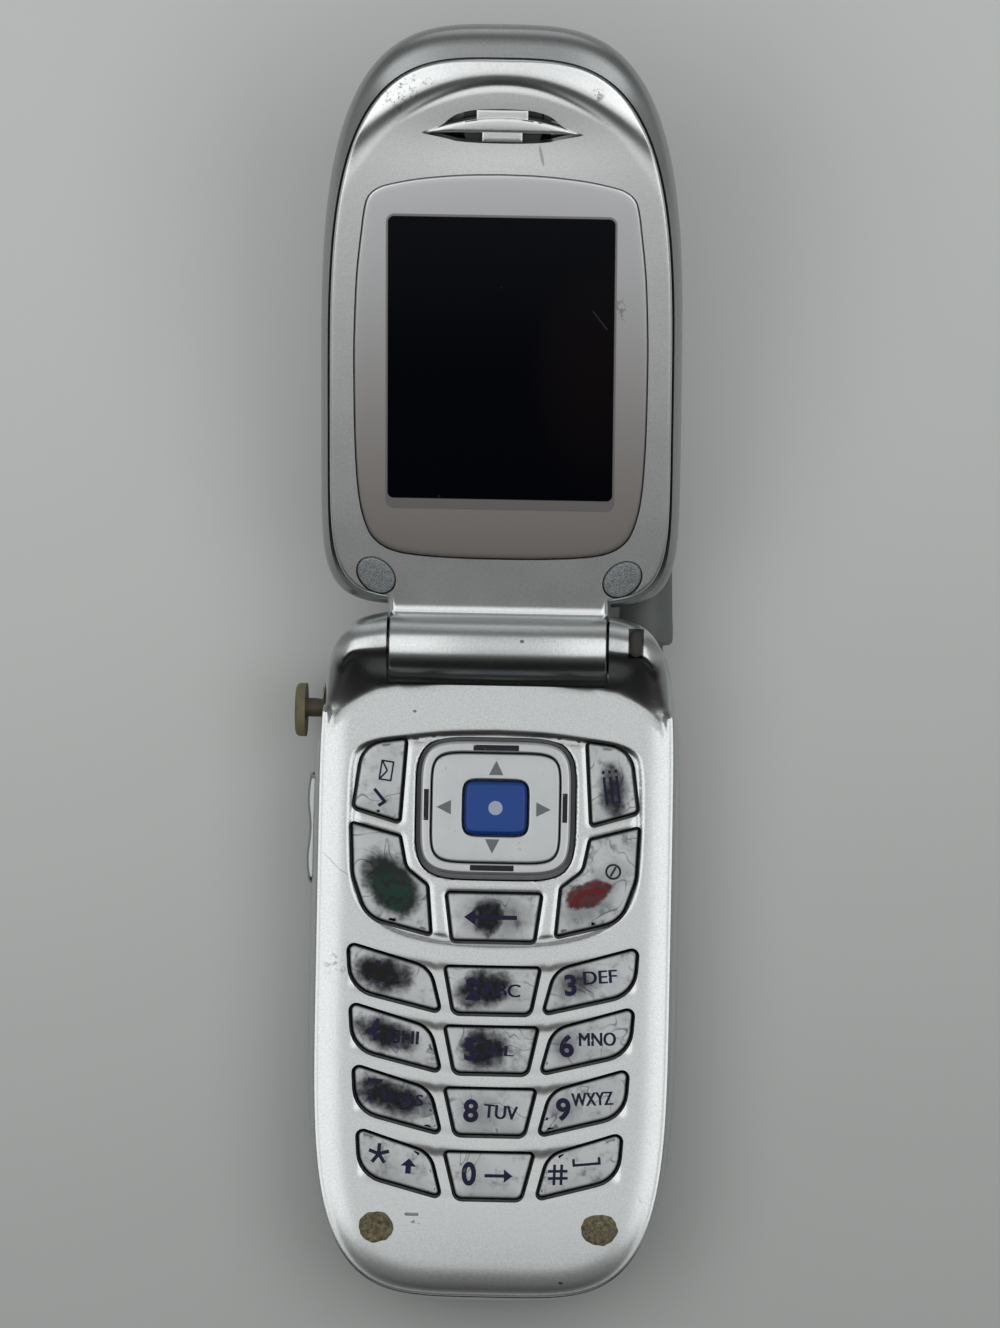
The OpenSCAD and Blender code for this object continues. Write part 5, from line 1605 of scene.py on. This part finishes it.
class PHONE_OT_front_cover(bpy.types.Operator):
    """Make the base's front cover with its keypad openings and hinge ears"""

    bl_idname = "phone.front_cover"
    bl_label = "Base front cover"

    def execute(self, context):
        s = context.scene.phone_sizes
        gaps = [-s.key_gap - f for f in (0, 0.06, 0.16)]
        holes = []
        for corners, flip in key_corners().values():
            holes.append([loop - [0, 0.1] for loop in family(corners, gaps, 0.6, flip)])
        holes.append([loop - [0, 0.1] for loop in rims_of(NAV_LOOPS[0], (-0.5, -0.58, -0.7))])
        edges = [h[0] for h in holes]
        holes.append([slab(0.9, -0.2, 0.2, 0.18) + [-9.7, -72.4]])
        fine = fine_grid((-20, 20), (-74, -10), 0.38)
        fine = fine[np.max([inside(fine, h, 2.0) for h in edges], 0) > -1.9]
        lines = [(EAR_FOOT + [0, side]) * [flip, 1] for flip in (1, -1) for side in (0.2, 0, -0.2)]
        around = fine_grid((12.5, 23), (-12.9, 4.2), 0.3)
        around = around[np.abs(inside(around, EAR_ROOM)) > 0.35]
        lines += [around, around * [-1, 1], fine]
        loops = rims_of(FACE_EDGE, (0, 0.1, 0.25, 0.45, 0.7, 1.0, 1.35, 1.75))

        def height(p):
            return face_height(p, edges, s)

        shape, edge, openings = relief(loops, height, 0, holes, lines, 0.85, base=False)
        ceiling = 12.7
        rows = [shape.level(base_ring(*insets), z) for z, *insets in FACE_RINGS]
        shape.wall(*rows, shape.level(FACE_EDGE, 13.6), edge)
        room = face_room()
        under = shape.skin(triangles(room, [h[0] for h in holes], (), 0), ceiling, up=False)
        for opening, below in zip(openings, under[1:]):
            shape.wall(opening, below)
        foot_room = shape.level(room, FACE_RINGS[0][0])
        shape.wall(under[0], foot_room)
        rim = triangles(base_ring(*FACE_RINGS[0][1:]), [room], (), 0)
        shape.skin(rim, FACE_RINGS[0][0], up=False, rim={0: rows[0], 1: foot_room})
        half, room_r = 14.1, 5.1
        c, si = math.cos(TILT), math.sin(TILT)
        back = np.array([room_r * si, -room_r * c])
        angles = np.linspace(math.pi, 1.5 * math.pi + TILT, 30)
        arc = [room_r * np.array([math.cos(a), math.sin(a)]) for a in angles]
        profile = [*arc, back + 12 * np.array([c, si]), np.array([12, 9]), np.array([-room_r, 9])]
        trough = Shape()
        trough.bar(*(trough.points([[x, a, AXIS + b] for a, b in profile]) for x in (-half, half)))
        cutters = [
            trough,
            # the hinge's shaft
            rod_shape((-19, 0, AXIS), (19, 0, AXIS), 2.2),
            # the hand strap's slot and its way out
            strap_slot(),
            box_shape((16.7, 18.3), (1.6, 8), (12.2, 13.6)),
            # the antenna's bore
            rod_shape((18.5, -3.5, 7), (18.5, 8, 7), 3.0),
            # the jack cover's seat, the jack and the hole of the strap
            box_shape((-24.5, -22.3), (-12.3, -4.9), (4.2, 13.75)),
            rod_shape((-24.5, -8.3, 6.9), (-20, -8.3, 6.9), 1.4),
            rod_shape((-24.5, -8.3, 11.2), (-20, -8.3, 11.2), 1.2),
            # the rocker's opening and the charging socket's
            box_shape((-25, -20), (-30.9, -16.3), (8.75, 12.25)),
            box_shape((-7.35, 7.35), (-90, -78), (4, 9.3)),
        ]
        mesh = carve(shape, "front_cover", *cutters)
        finished(
            mesh, "front_cover_shell", finish("case_silver"), "base", ["base_front_cover"], "case_silver",
            32
        )
        return {"FINISHED"}


# ---------------------------------------------------------------- lid


def lid_ring(half, root, tip, steps=90):
    return egg(half, 33, root, tip, 7, 3.3, steps)


def thin(s):
    """The lid is thinner towards its root."""
    return 0.575 + 0.425 * ease((s - 6) / 14)


# height over the lid's inner face, half width, root and tip
LID_FORM = [
    (-8.7, 16.2, 10.6, 73), (-8.3, 18.9, 8, 76.2), (-7.2, 21.1, 6, 78.6), (-5.5, 22.3, 4.9, 79.9),
    (-3.2, 22.7, 4.6, 80.41), (-1.6, 22.5, 4.9, 79.55), (-0.35, 21.77, 5.58, 77.12),
]
LID_ROOM = [
    (-7.5, 15.7, 10.8, 72.3), (-6.9, 17.9, 8.2, 75.7), (-5.5, 20.6, 6.6, 78.1), (-3.2, 21.4, 5.9, 79.1),
    (-1.7, 21.3, 6.0, 76.7),
]
OUTER_GLASS = slab(9.5, 38, 51, 1.4)


class PHONE_OT_lid_outside(bpy.types.Operator):
    """Make the lid's outer cover with the opening of its small window"""

    bl_idname = "phone.lid_outside"
    bl_label = "Lid outer cover"

    def execute(self, context):
        shape = Shape()

        def row(n, half, root, tip):
            p = lid_ring(half, root, tip)
            return shape.points(np.column_stack([p, n * thin(p[:, 1])]))

        outer_rows, room_rows = catmull(LID_FORM, 4), catmull(LID_ROOM, 2)
        glass = spaced(swell(OUTER_GLASS, 0.12), 1.0)
        first = lid_ring(*outer_rows[0][1:])
        cap = shape.skin(
            triangles(first, [glass], (), 2.0), lambda p: outer_rows[0][0] * thin(p[:, 1]), up=False
        )
        rings = [cap[0]] + [row(*r) for r in outer_rows[1:]]
        shape.wall(*rings)
        ceiling = lid_ring(*room_rows[0][1:])
        room_cap = shape.skin(
            triangles(ceiling, [glass], (), 2.0), lambda p: room_rows[0][0] * thin(p[:, 1])
        )
        rooms = [room_cap[0]] + [row(*r) for r in room_rows[1:]]
        shape.wall(*rooms[::-1])
        shape.wall(cap[1], room_cap[1])
        shape.wall(rooms[-1], rings[-1])
        neck = box_shape((-14.15, 14.15), (-2, 7.3), (-3.6, 2))
        mesh = carve(shape.placed(lid_place), "lid_cover", neck.placed(lid_place))
        finished(
            mesh, "lid_outer_shell", finish("rim_silver"), "lid", ["lid_outer_cover"], "case_silver", 32
        )
        return {"FINISHED"}


INNER_EDGE = egg(21.5, 33, 5.8, 76.9, 6.4, 3.3, 100)
PANEL_HALF = [
    (0, 11.6), (5, 11.65), (10.3, 11.95), (13.7, 12.6), (15.9, 14.1), (17.1, 16.6), (17.85, 20.5),
    (18.25, 27), (18.4, 36), (18.35, 42), (18.05, 49), (17.5, 54.4), (17.1, 57.5), (16.6, 59.1),
    (15.4, 60.15), (13.6, 60.75), (10, 61.45), (5, 61.95), (0, 62.1),
]
PANEL = even(both_sides(catmull(PANEL_HALF, 8)), 0.6)[:-1]
CAP_SPOT = (15.6, 9.1)
EAR_HALF = [
    (0, 66.1), (3, 66.15), (5.6, 66.35), (6.8, 66.65), (8.2, 66.95), (10.1, 67.4), (8.6, 67.85),
    (7.4, 68.5), (6.5, 69.3), (5.4, 69.95), (3.2, 70.45), (0, 70.6)
]
EAR_BOW = 67.4  # distance of the crescent's points from the hinge's axis, along the lid
ACROSS = np.linspace(23, -23, 461)
CREST = even(np.stack([ACROSS, 75.1 - 0.0189 * np.abs(ACROSS) ** 2.09], 1), 0.45)
DISH_EDGE = even(np.stack([ACROSS, 73.0 - 8.4 * (np.abs(ACROSS) / 16.5) ** 2.7], 1), 0.45)


def above(p, curve):
    """Distance above an arch-shaped curve, negative below it."""
    region = np.concatenate([curve, [[curve[-1, 0], 0], [curve[0, 0], 0]]])
    return -inside(p, region, 12)


def inner_edge():
    """The inner cover's outline with its straight neck."""
    half, n = 13.8, len(INNER_EDGE) // 4
    upper, left, right = INNER_EDGE[: 2 * n], INNER_EDGE[2 * n : 3 * n], INNER_EDGE[3 * n :]
    right, left = right[right[:, 0] > half + 0.2], left[left[:, 0] < -half - 0.2]
    neck = [[-half, 6.1], [-half, 3.2], [half, 3.2], [half, 6.1]]
    return np.concatenate([neck, right, upper, left])


INNER_OUTLINE = inner_edge()


def bow(half, mid, low, high, n=25):
    """Crescent or lens: two arcs that meet at x = ±half, s = mid."""
    x = np.linspace(half, -half, n)
    upper = np.stack([x, mid + (high - mid) * (1 - (x / half) ** 2)], 1)
    lower = np.stack([-x, mid + (low - mid) * (1 - (x / half) ** 2)], 1)
    return np.concatenate([upper[:-1], lower[:-1]])


BROW = bow(14.5, 67.5, 72.9, 74.2, 41)


def inner_height(p, settings):
    """Relief of the lid's inner cover."""
    x, s = np.abs(p[:, 0]), p[:, 1]
    d = np.maximum(inside(p, INNER_OUTLINE, 4), 0)
    over_crest, over_dish = above(p, CREST), above(p, DISH_EDGE)
    between = np.clip(over_dish / np.maximum(over_dish - over_crest, 0.3), 0, 1)
    tip = ease((s - 50) / 16)
    ridge = settings.ridge * np.exp(-((over_crest / 1.1) ** 2))
    hollow = -0.06 * np.sin(between * math.pi) ** 1.2 * ease((over_dish - over_crest) / 1.5)
    slope = -0.6 * ease((over_crest - 0.2) / 4)
    n = 0.06 + tip * (ridge + hollow + slope) - shoulder(d, 0.36)
    dish = -0.22 * np.exp(-(((s - 66.8) / 4.2) ** 2) - (x / 13) ** 2)
    brow = -0.12 * np.clip(inside(p, BROW) / 0.5, 0, 1)
    return n + dish + np.where(s > 60, brow, 0) + 0.28 * np.clip((5.15 - s) / 0.75, 0, 1.2) ** 2


class PHONE_OT_lid_inside(bpy.types.Operator):
    """Make the lid's inner cover"""

    bl_idname = "phone.lid_inside"
    bl_label = "Lid inner cover"

    def execute(self, context):
        s = context.scene.phone_sizes
        holes = [rims_of(PANEL, (-0.12, -0.2, -0.35, -0.6))]
        for side in (1, -1):
            edge = oval(side * CAP_SPOT[0], CAP_SPOT[1], 2.85, 2.2, 48, side * 45)
            holes.append(rims_of(edge, (0, -0.08, -0.22)))
        holes.append([even(both_sides(catmull(EAR_HALF, 5)), 0.35)[:-1]])
        loops = rims_of(INNER_OUTLINE, (0, 0.06, 0.14, 0.24, 0.36))
        fine = fine_grid((-21.5, 21.5), (3, 77), 0.3)
        depth = inside(fine, INNER_OUTLINE)
        fine = fine[((depth < 1.6) | (np.abs(fine[:, 1] - 31.8) > 25.2)) & (depth > 0.5)]
        shape = relief(loops, lambda p: inner_height(p, s), -1.6, holes, [fine], spacing=0.8)[0]
        shape.placed(lid_place).object(
            "lid_inner_plate", finish("lid_silver"), "lid", ["lid_inner_cover"], "case_silver", 40
        )
        return {"FINISHED"}


class PHONE_OT_window(bpy.types.Operator):
    """Make the clear printed plate over the display"""

    bl_idname = "phone.window"
    bl_label = "Window"

    def execute(self, context):
        loops = rims_of(PANEL, (0, 0.04, 0.1, 0.18, 0.3, 0.8))
        shape = relief(loops, crowned(PANEL, 0.02, 0.25, 0.03, 3), -0.62, spacing=2.2)[0]
        shape.placed(lid_place).object(
            "window_plate", finish("window_panel"), "lid", ["lid_window_panel", "main_window"],
            "window_border"
        )
        return {"FINISHED"}


class PHONE_OT_earpiece(bpy.types.Operator):
    """Make the slim crescent over the earpiece and its two tabs"""

    bl_idname = "phone.earpiece"
    bl_label = "Earpiece"

    def execute(self, context):
        edge = spaced(bow(9.6, EAR_BOW + 0.1, 67.6, 69.5), 0.35)
        rims, lines = rims_of(edge, (0, 0.04, 0.1)), rims_of(edge, (0.2, 0.32, 0.45))
        shape = relief(rims, crowned(edge, 0.25, 0, 0.16, 0.45), -1.2, (), lines, spacing=0.4)[0]
        for half, low, high in ((3.2, 69.0, 70.4), (2.5, 66.3, 68.0)):
            tab = slab(half, low, high, 0.1, 4)
            relief(rims_of(tab, (0, 0.02, 0.06)), crowned(tab, -0.1, 0.06), -1.2, spacing=0.6, shape=shape)
        shape.placed(lid_place).object(
            "earpiece_crescent", finish("grille_silver"), "lid", ["earpiece_grille"], "case_silver"
        )
        return {"FINISHED"}


class PHONE_OT_caps(bpy.types.Operator):
    """Make the two rubber caps over the lid's screws"""

    bl_idname = "phone.caps"
    bl_label = "Screw caps"

    def execute(self, context):
        for name, side in (("right", 1), ("left", -1)):
            edge = oval(side * CAP_SPOT[0], CAP_SPOT[1], 2.7, 2.05, 48, side * 45)
            loops = rims_of(edge, (0, 0.03, 0.1, 0.2, 0.3))
            shape = relief(loops, crowned(edge, 0.16, 0.3, 0.06, 2), -0.7, spacing=0.5)[0]
            shape.placed(lid_place).object(
                "screw_cap_" + name, finish("screw_cap"), "lid", ["lid_screw_caps"], "screw_cap"
            )
        return {"FINISHED"}


# ---------------------------------------------------------------- hinge barrel


class PHONE_OT_barrel(bpy.types.Operator):
    """Make the lid's hinge barrel and the neck that carries it"""

    bl_idname = "phone.barrel"
    bl_label = "Hinge barrel"

    def execute(self, context):
        r, half = 4.4, 13.8
        left_bore, right_bore = context.scene.phone_sizes.can_bore, context.scene.phone_sizes.bush_bore
        profile = [
            (0, -2), (left_bore, -2), (left_bore, -half + 0.1), (left_bore + 0.1, -half), (r - 0.3, -half),
            (r - 0.09, -half + 0.09), (r, -half + 0.3), (r, half - 0.3), (r - 0.09, half - 0.09),
            (r - 0.3, half), (right_bore + 0.1, half), (right_bore, half - 0.1), (right_bore, 2), (0, 2),
        ]
        shape = lathe(profile, 96)

        def to_axis(p):
            return np.column_stack([p[:, 2], p[:, 0], p[:, 1] + AXIS])

        shape.placed(to_axis).object(
            "hinge_barrel", finish("barrel_silver"), "lid", ["lid_inner_cover"], "case_silver", 40
        )
        neck = box_shape((-13.75, 13.75), (3.3, 6.9), (-3.7, -1.5))
        slot = box_shape((3, 9.4), (0, 8), (-3.2, -2))
        mesh = carve(neck.placed(lid_place), "neck", slot.placed(lid_place))
        finished(mesh, "hinge_neck", finish("lid_silver"), "lid", ["lid_inner_cover"], "case_silver")
        return {"FINISHED"}


# ---------------------------------------------------------------- sides


class PHONE_OT_jack_cover(bpy.types.Operator):
    """Make the rubber cover of the headset jack and its strap"""

    bl_idname = "phone.jack_cover"
    bl_label = "Jack cover"

    def execute(self, context):
        mid = 9.05
        edge = egg(3.4, mid, mid - 4.45, mid + 4.45, 2.6, 2.6, 16)
        loops = rims_of(edge, (0, 0.03, 0.1, 0.22, 0.38, 0.52))
        shape = relief(loops, crowned(edge, 1.4, 0.5, 0.15, 3), 0.0, spacing=0.6)[0]

        def to_side(p):
            return np.column_stack([-24.55 - p[:, 2], -8.6 - p[:, 0], p[:, 1]])

        shape.placed(to_side)
        seat = rod_shape((-25.5, -8.3, 11.2), (-24.2, -8.3, 11.2), 1.35)
        mesh = carve(shape, "jack_flange", seat)
        finished(
            mesh, "jack_cover_flange", finish("olive_rubber"), "jack_cover", ["jack_cover"], "olive_rubber"
        )
        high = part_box("jack_cover")[1]
        nub = lathe([(0, -0.3), (1.2, -0.3), (1.2, 1.6), (1.05, 2.2), (0.6, 2.6), (0, 2.7)], 32)

        def nub_place(p):
            x = -24.8 + p[:, 2] * (high.x / MM + 24.8) / 2.7
            return np.column_stack([x, -8.3 + p[:, 0], 6.9 + p[:, 1]])

        nub.placed(nub_place).object(
            "jack_cover_nub", finish("olive_rubber"), "jack_cover", ["jack_cover"], "olive_rubber"
        )
        return {"FINISHED"}


class PHONE_OT_rocker(bpy.types.Operator):
    """Make the volume rocker on the left side"""

    bl_idname = "phone.rocker"
    bl_label = "Volume rocker"

    def execute(self, context):
        edge = spaced(slab(7.1, -1.6, 1.6, 1.1, 9), 0.5)
        flat = crowned(edge, 1.95, 0.5)

        def height(p):
            return flat(p) + 0.33 * np.exp(-(((np.abs(p[:, 0]) - 3.9) / 2.4) ** 2))

        shape = relief(rims_of(edge, (0, 0.03, 0.1, 0.22, 0.36, 0.5)), height, 0.1, spacing=0.5)[0]

        def to_side(p):
            return np.column_stack([-21.8 - p[:, 2], -23.6 - p[:, 0], 10.5 + p[:, 1]])

        shape.placed(to_side).object(
            "rocker_cap", finish("rim_silver"), "volume_rocker", ["volume_rocker"], "case_silver"
        )
        flange = box_shape((-21.9, -21.3), (-31.1, -16.1), (8.5, 12.4))
        flange.object(
            "rocker_flange", finish("rim_silver"), "volume_rocker", ["volume_rocker"], "case_silver"
        )
        return {"FINISHED"}


class PHONE_OT_bumpers(bpy.types.Operator):
    """Make the crumbled remains of the two bumpers"""

    bl_idname = "phone.bumpers"
    bl_label = "Bumper residue"

    def execute(self, context):
        spots = ("left", -14.2, -74.1, 2.45, 2.2, 3), ("right", 14.2, -73.9, 2.6, 2.2, 8)
        points, lump_count = 90, 90
        for name, x, y, rx, ry, seed in spots:
            rng = np.random.default_rng(seed)
            circle, a = round_points(points), np.linspace(0, 2 * math.pi, points, endpoint=False)
            waves = sum(rng.uniform(0.2, 1) / k * np.sin(k * a + rng.uniform(0, 6)) for k in range(3, 16))
            edge = circle * (0.9 + 0.09 * waves)[:, None] * [rx, ry] + [x, y]
            lumps = rng.uniform(-1, 1, (lump_count, 2)) * [rx, ry] + [x, y]
            size, tall = rng.uniform(0.16, 0.55, lump_count), rng.uniform(0.05, 0.3, lump_count)

            def height(p, edge=edge, lumps=lumps, size=size, tall=tall):
                d = np.maximum(inside(p, edge), 0)
                z = np.zeros(len(p))
                for c, r, h in zip(lumps, size, tall):
                    z = np.maximum(z, h * np.exp(-(((p - c) ** 2).sum(1)) / (r * r)))
                return FACE + 0.06 + z * np.clip(d / 0.35, 0, 1)

            shape = relief([edge], height, FACE - 0.3, spacing=0.16)[0]
            shape.object(
                "bumper_" + name, finish("residue"), "base", ["base_bumpers"], "bumper_residue", 60
            )
        return {"FINISHED"}


# ---------------------------------------------------------------- unchanged pieces

SLOT_FINISHES = {
    "window_border": "black_plastic", "clear_window": "dark_glass", "bumper_residue": "residue",
    "case_silver": "rear_silver"
}


class PHONE_OT_insides(bpy.types.Operator):
    """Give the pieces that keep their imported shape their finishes"""

    bl_idname = "phone.insides"
    bl_label = "Other pieces"

    def execute(self, context):
        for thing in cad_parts.values():
            for place in thing.material_slots:
                name = place.material.name.split(".")[0] if place.material else "black_plastic"
                if name in MAKERS or name in SLOT_FINISHES:
                    place.material = finish(SLOT_FINISHES.get(name, name))
        return {"FINISHED"}


# ---------------------------------------------------------------- stage

# How bright the room is towards the foot, -1, straight up, 0, and towards the lid, 1
ROOM_LIGHT = [
    (-1, 0.01), (-0.85, 0.01), (-0.68, 0.04), (-0.6, 0.07), (-0.48, 0.18), (-0.4, 0.22), (0, 0.4),
    (0.35, 0.26), (0.7, 0.2), (1, 0.3)
]


def area_lamp(name, place, target, size, power, colour=(1, 1, 1)):
    lamp = bpy.data.lights.new(name, "AREA")
    lamp.shape, lamp.size, lamp.size_y = "RECTANGLE", size[0], size[1]
    lamp.energy, lamp.color = power, colour
    thing = bpy.data.objects.new(name, lamp)
    thing.location = place
    thing.rotation_euler = (Vector(target) - Vector(place)).to_track_quat("-Z", "Y").to_euler()
    bpy.context.scene.collection.objects.link(thing)
    return thing


class PHONE_OT_stage(bpy.types.Operator):
    """Set up the floor, the lamps and the camera"""

    bl_idname = "phone.stage"
    bl_label = "Stage"

    def execute(self, context):
        s = context.scene.phone_stage
        camera = bpy.data.cameras.new("camera")
        camera.sensor_fit, camera.sensor_width, camera.sensor_height, camera.lens = "AUTO", 36, 36, s.lens
        camera.clip_end = 20
        thing = bpy.data.objects.new("camera", camera)
        lean = Matrix.Rotation(math.atan(s.camera_side / s.camera_height), 3, "Y")
        thing.location = (-0.26 * MM + s.camera_side, -2.3 * MM, s.camera_height)
        thing.rotation_euler = (lean @ Matrix.Rotation(math.radians(1.1), 3, "Z")).to_euler()
        context.scene.collection.objects.link(thing)
        context.scene.camera = thing

        floor = Finish("floor", rough=0.75, specular=0.2)
        grain = floor.noise(60, 2.0)
        # Painted light: the floor is lighter towards the top and darker towards the lower left.
        painted_falloff = (floor.y + floor.x * -0.2).ramp(-130, 130)
        base = floor.mix(painted_falloff, toned(s.floor_colour, 0.76), toned(s.floor_colour, 1.25))
        floor.colour(floor.mix(grain * 0.06, base, toned(s.floor_colour, 0.9)))
        plane = bpy.data.meshes.new("floor")
        r = 1.6
        plane.from_pydata([(-r, -r, 0), (r, -r, 0), (r, r, 0), (-r, r, 0)], [], [(0, 1, 2, 3)])
        plane.materials.append(floor.material)
        ground = bpy.data.objects.new("floor", plane)
        context.scene.collection.objects.link(ground)

        world = bpy.data.worlds.new("studio")
        context.scene.world = world
        world.use_nodes = True
        tree = world.node_tree
        split = tree.nodes.new("ShaderNodeSeparateXYZ")
        tree.links.new(tree.nodes.new("ShaderNodeTexCoord").outputs["Generated"], split.inputs[0])
        room = tree.nodes.new("ShaderNodeValToRGB")
        room.color_ramp.elements[0].position, room.color_ramp.elements[1].position = 0.0, 1.0
        for place, light in ROOM_LIGHT:
            element = room.color_ramp.elements.new((place + 1) / 2)
            warm = min(1, max(0, -place))
            element.color = (light, light * (1 - 0.04 * warm), light * (1 - 0.09 * warm), 1)
        room.color_ramp.elements.remove(room.color_ramp.elements[0])
        room.color_ramp.elements.remove(room.color_ramp.elements[-1])
        shift = tree.nodes.new("ShaderNodeMath")
        shift.operation = "MULTIPLY_ADD"
        shift.inputs[1].default_value, shift.inputs[2].default_value = 0.5, 0.5
        tree.links.new(split.outputs[1], shift.inputs[0])
        tree.links.new(shift.outputs[0], room.inputs[0])
        tree.links.new(room.outputs[0], tree.nodes["Background"].inputs["Color"])
        tree.nodes["Background"].inputs["Strength"].default_value = s.soft_light
        low, high, half = -0.16, 0.17, 0.3
        seam = 0.075
        lamps = ("middle", -seam, seam, 0.62), ("left", -half, -seam, 1.35), ("right", seam, half, 1.35)
        for name, left, right, bright in lamps:
            power = s.lamp_light * bright * math.pi * (high - low) * (right - left)
            place = ((left + right) / 2, (low + high) / 2)
            panel = area_lamp("lamp_" + name, (*place, 0.3), (*place, 0), (right - left, high - low), power)
            panel.visible_camera = False
        context.scene.view_settings.view_transform = "Standard"
        return {"FINISHED"}


# ---------------------------------------------------------------- panel and order

STEPS = [
    PHONE_OT_front_cover, PHONE_OT_lid_outside, PHONE_OT_lid_inside, PHONE_OT_window, PHONE_OT_earpiece,
    PHONE_OT_caps, PHONE_OT_barrel, PHONE_OT_jack_cover, PHONE_OT_rocker, PHONE_OT_bumpers,
    PHONE_OT_keys, PHONE_OT_navigation, PHONE_OT_print, PHONE_OT_antenna, PHONE_OT_spring,
    PHONE_OT_screws, PHONE_OT_insides, PHONE_OT_stage,
]


class PHONE_PT_panel(bpy.types.Panel):
    """Buttons for each group of pieces"""

    bl_label = "Phone"
    bl_idname = "PHONE_PT_panel"
    bl_space_type = "VIEW_3D"
    bl_region_type = "UI"
    bl_category = "Phone"

    def draw(self, context):
        for group in (context.scene.phone_finishes, context.scene.phone_sizes, context.scene.phone_stage):
            box = self.layout.box()
            for key in group.__annotations__:
                box.prop(group, key)
        for step in STEPS:
            self.layout.operator(step.bl_idname)


GROUPS = {"phone_finishes": PhoneFinishes, "phone_sizes": PhoneSizes, "phone_stage": PhoneStage}


def register():
    for name, group in GROUPS.items():
        bpy.utils.register_class(group)
        setattr(bpy.types.Scene, name, PointerProperty(type=group))
    for item in [*STEPS, PHONE_PT_panel]:
        bpy.utils.register_class(item)


def unregister():
    for item in [PHONE_PT_panel, *STEPS[::-1]]:
        bpy.utils.unregister_class(item)
    for name, group in GROUPS.items():
        delattr(bpy.types.Scene, name)
        bpy.utils.unregister_class(group)


def main():
    register()
    for step in STEPS:
        group, name = step.bl_idname.split(".")
        getattr(getattr(bpy.ops, group), name)()


if __name__ == "__main__":
    main()
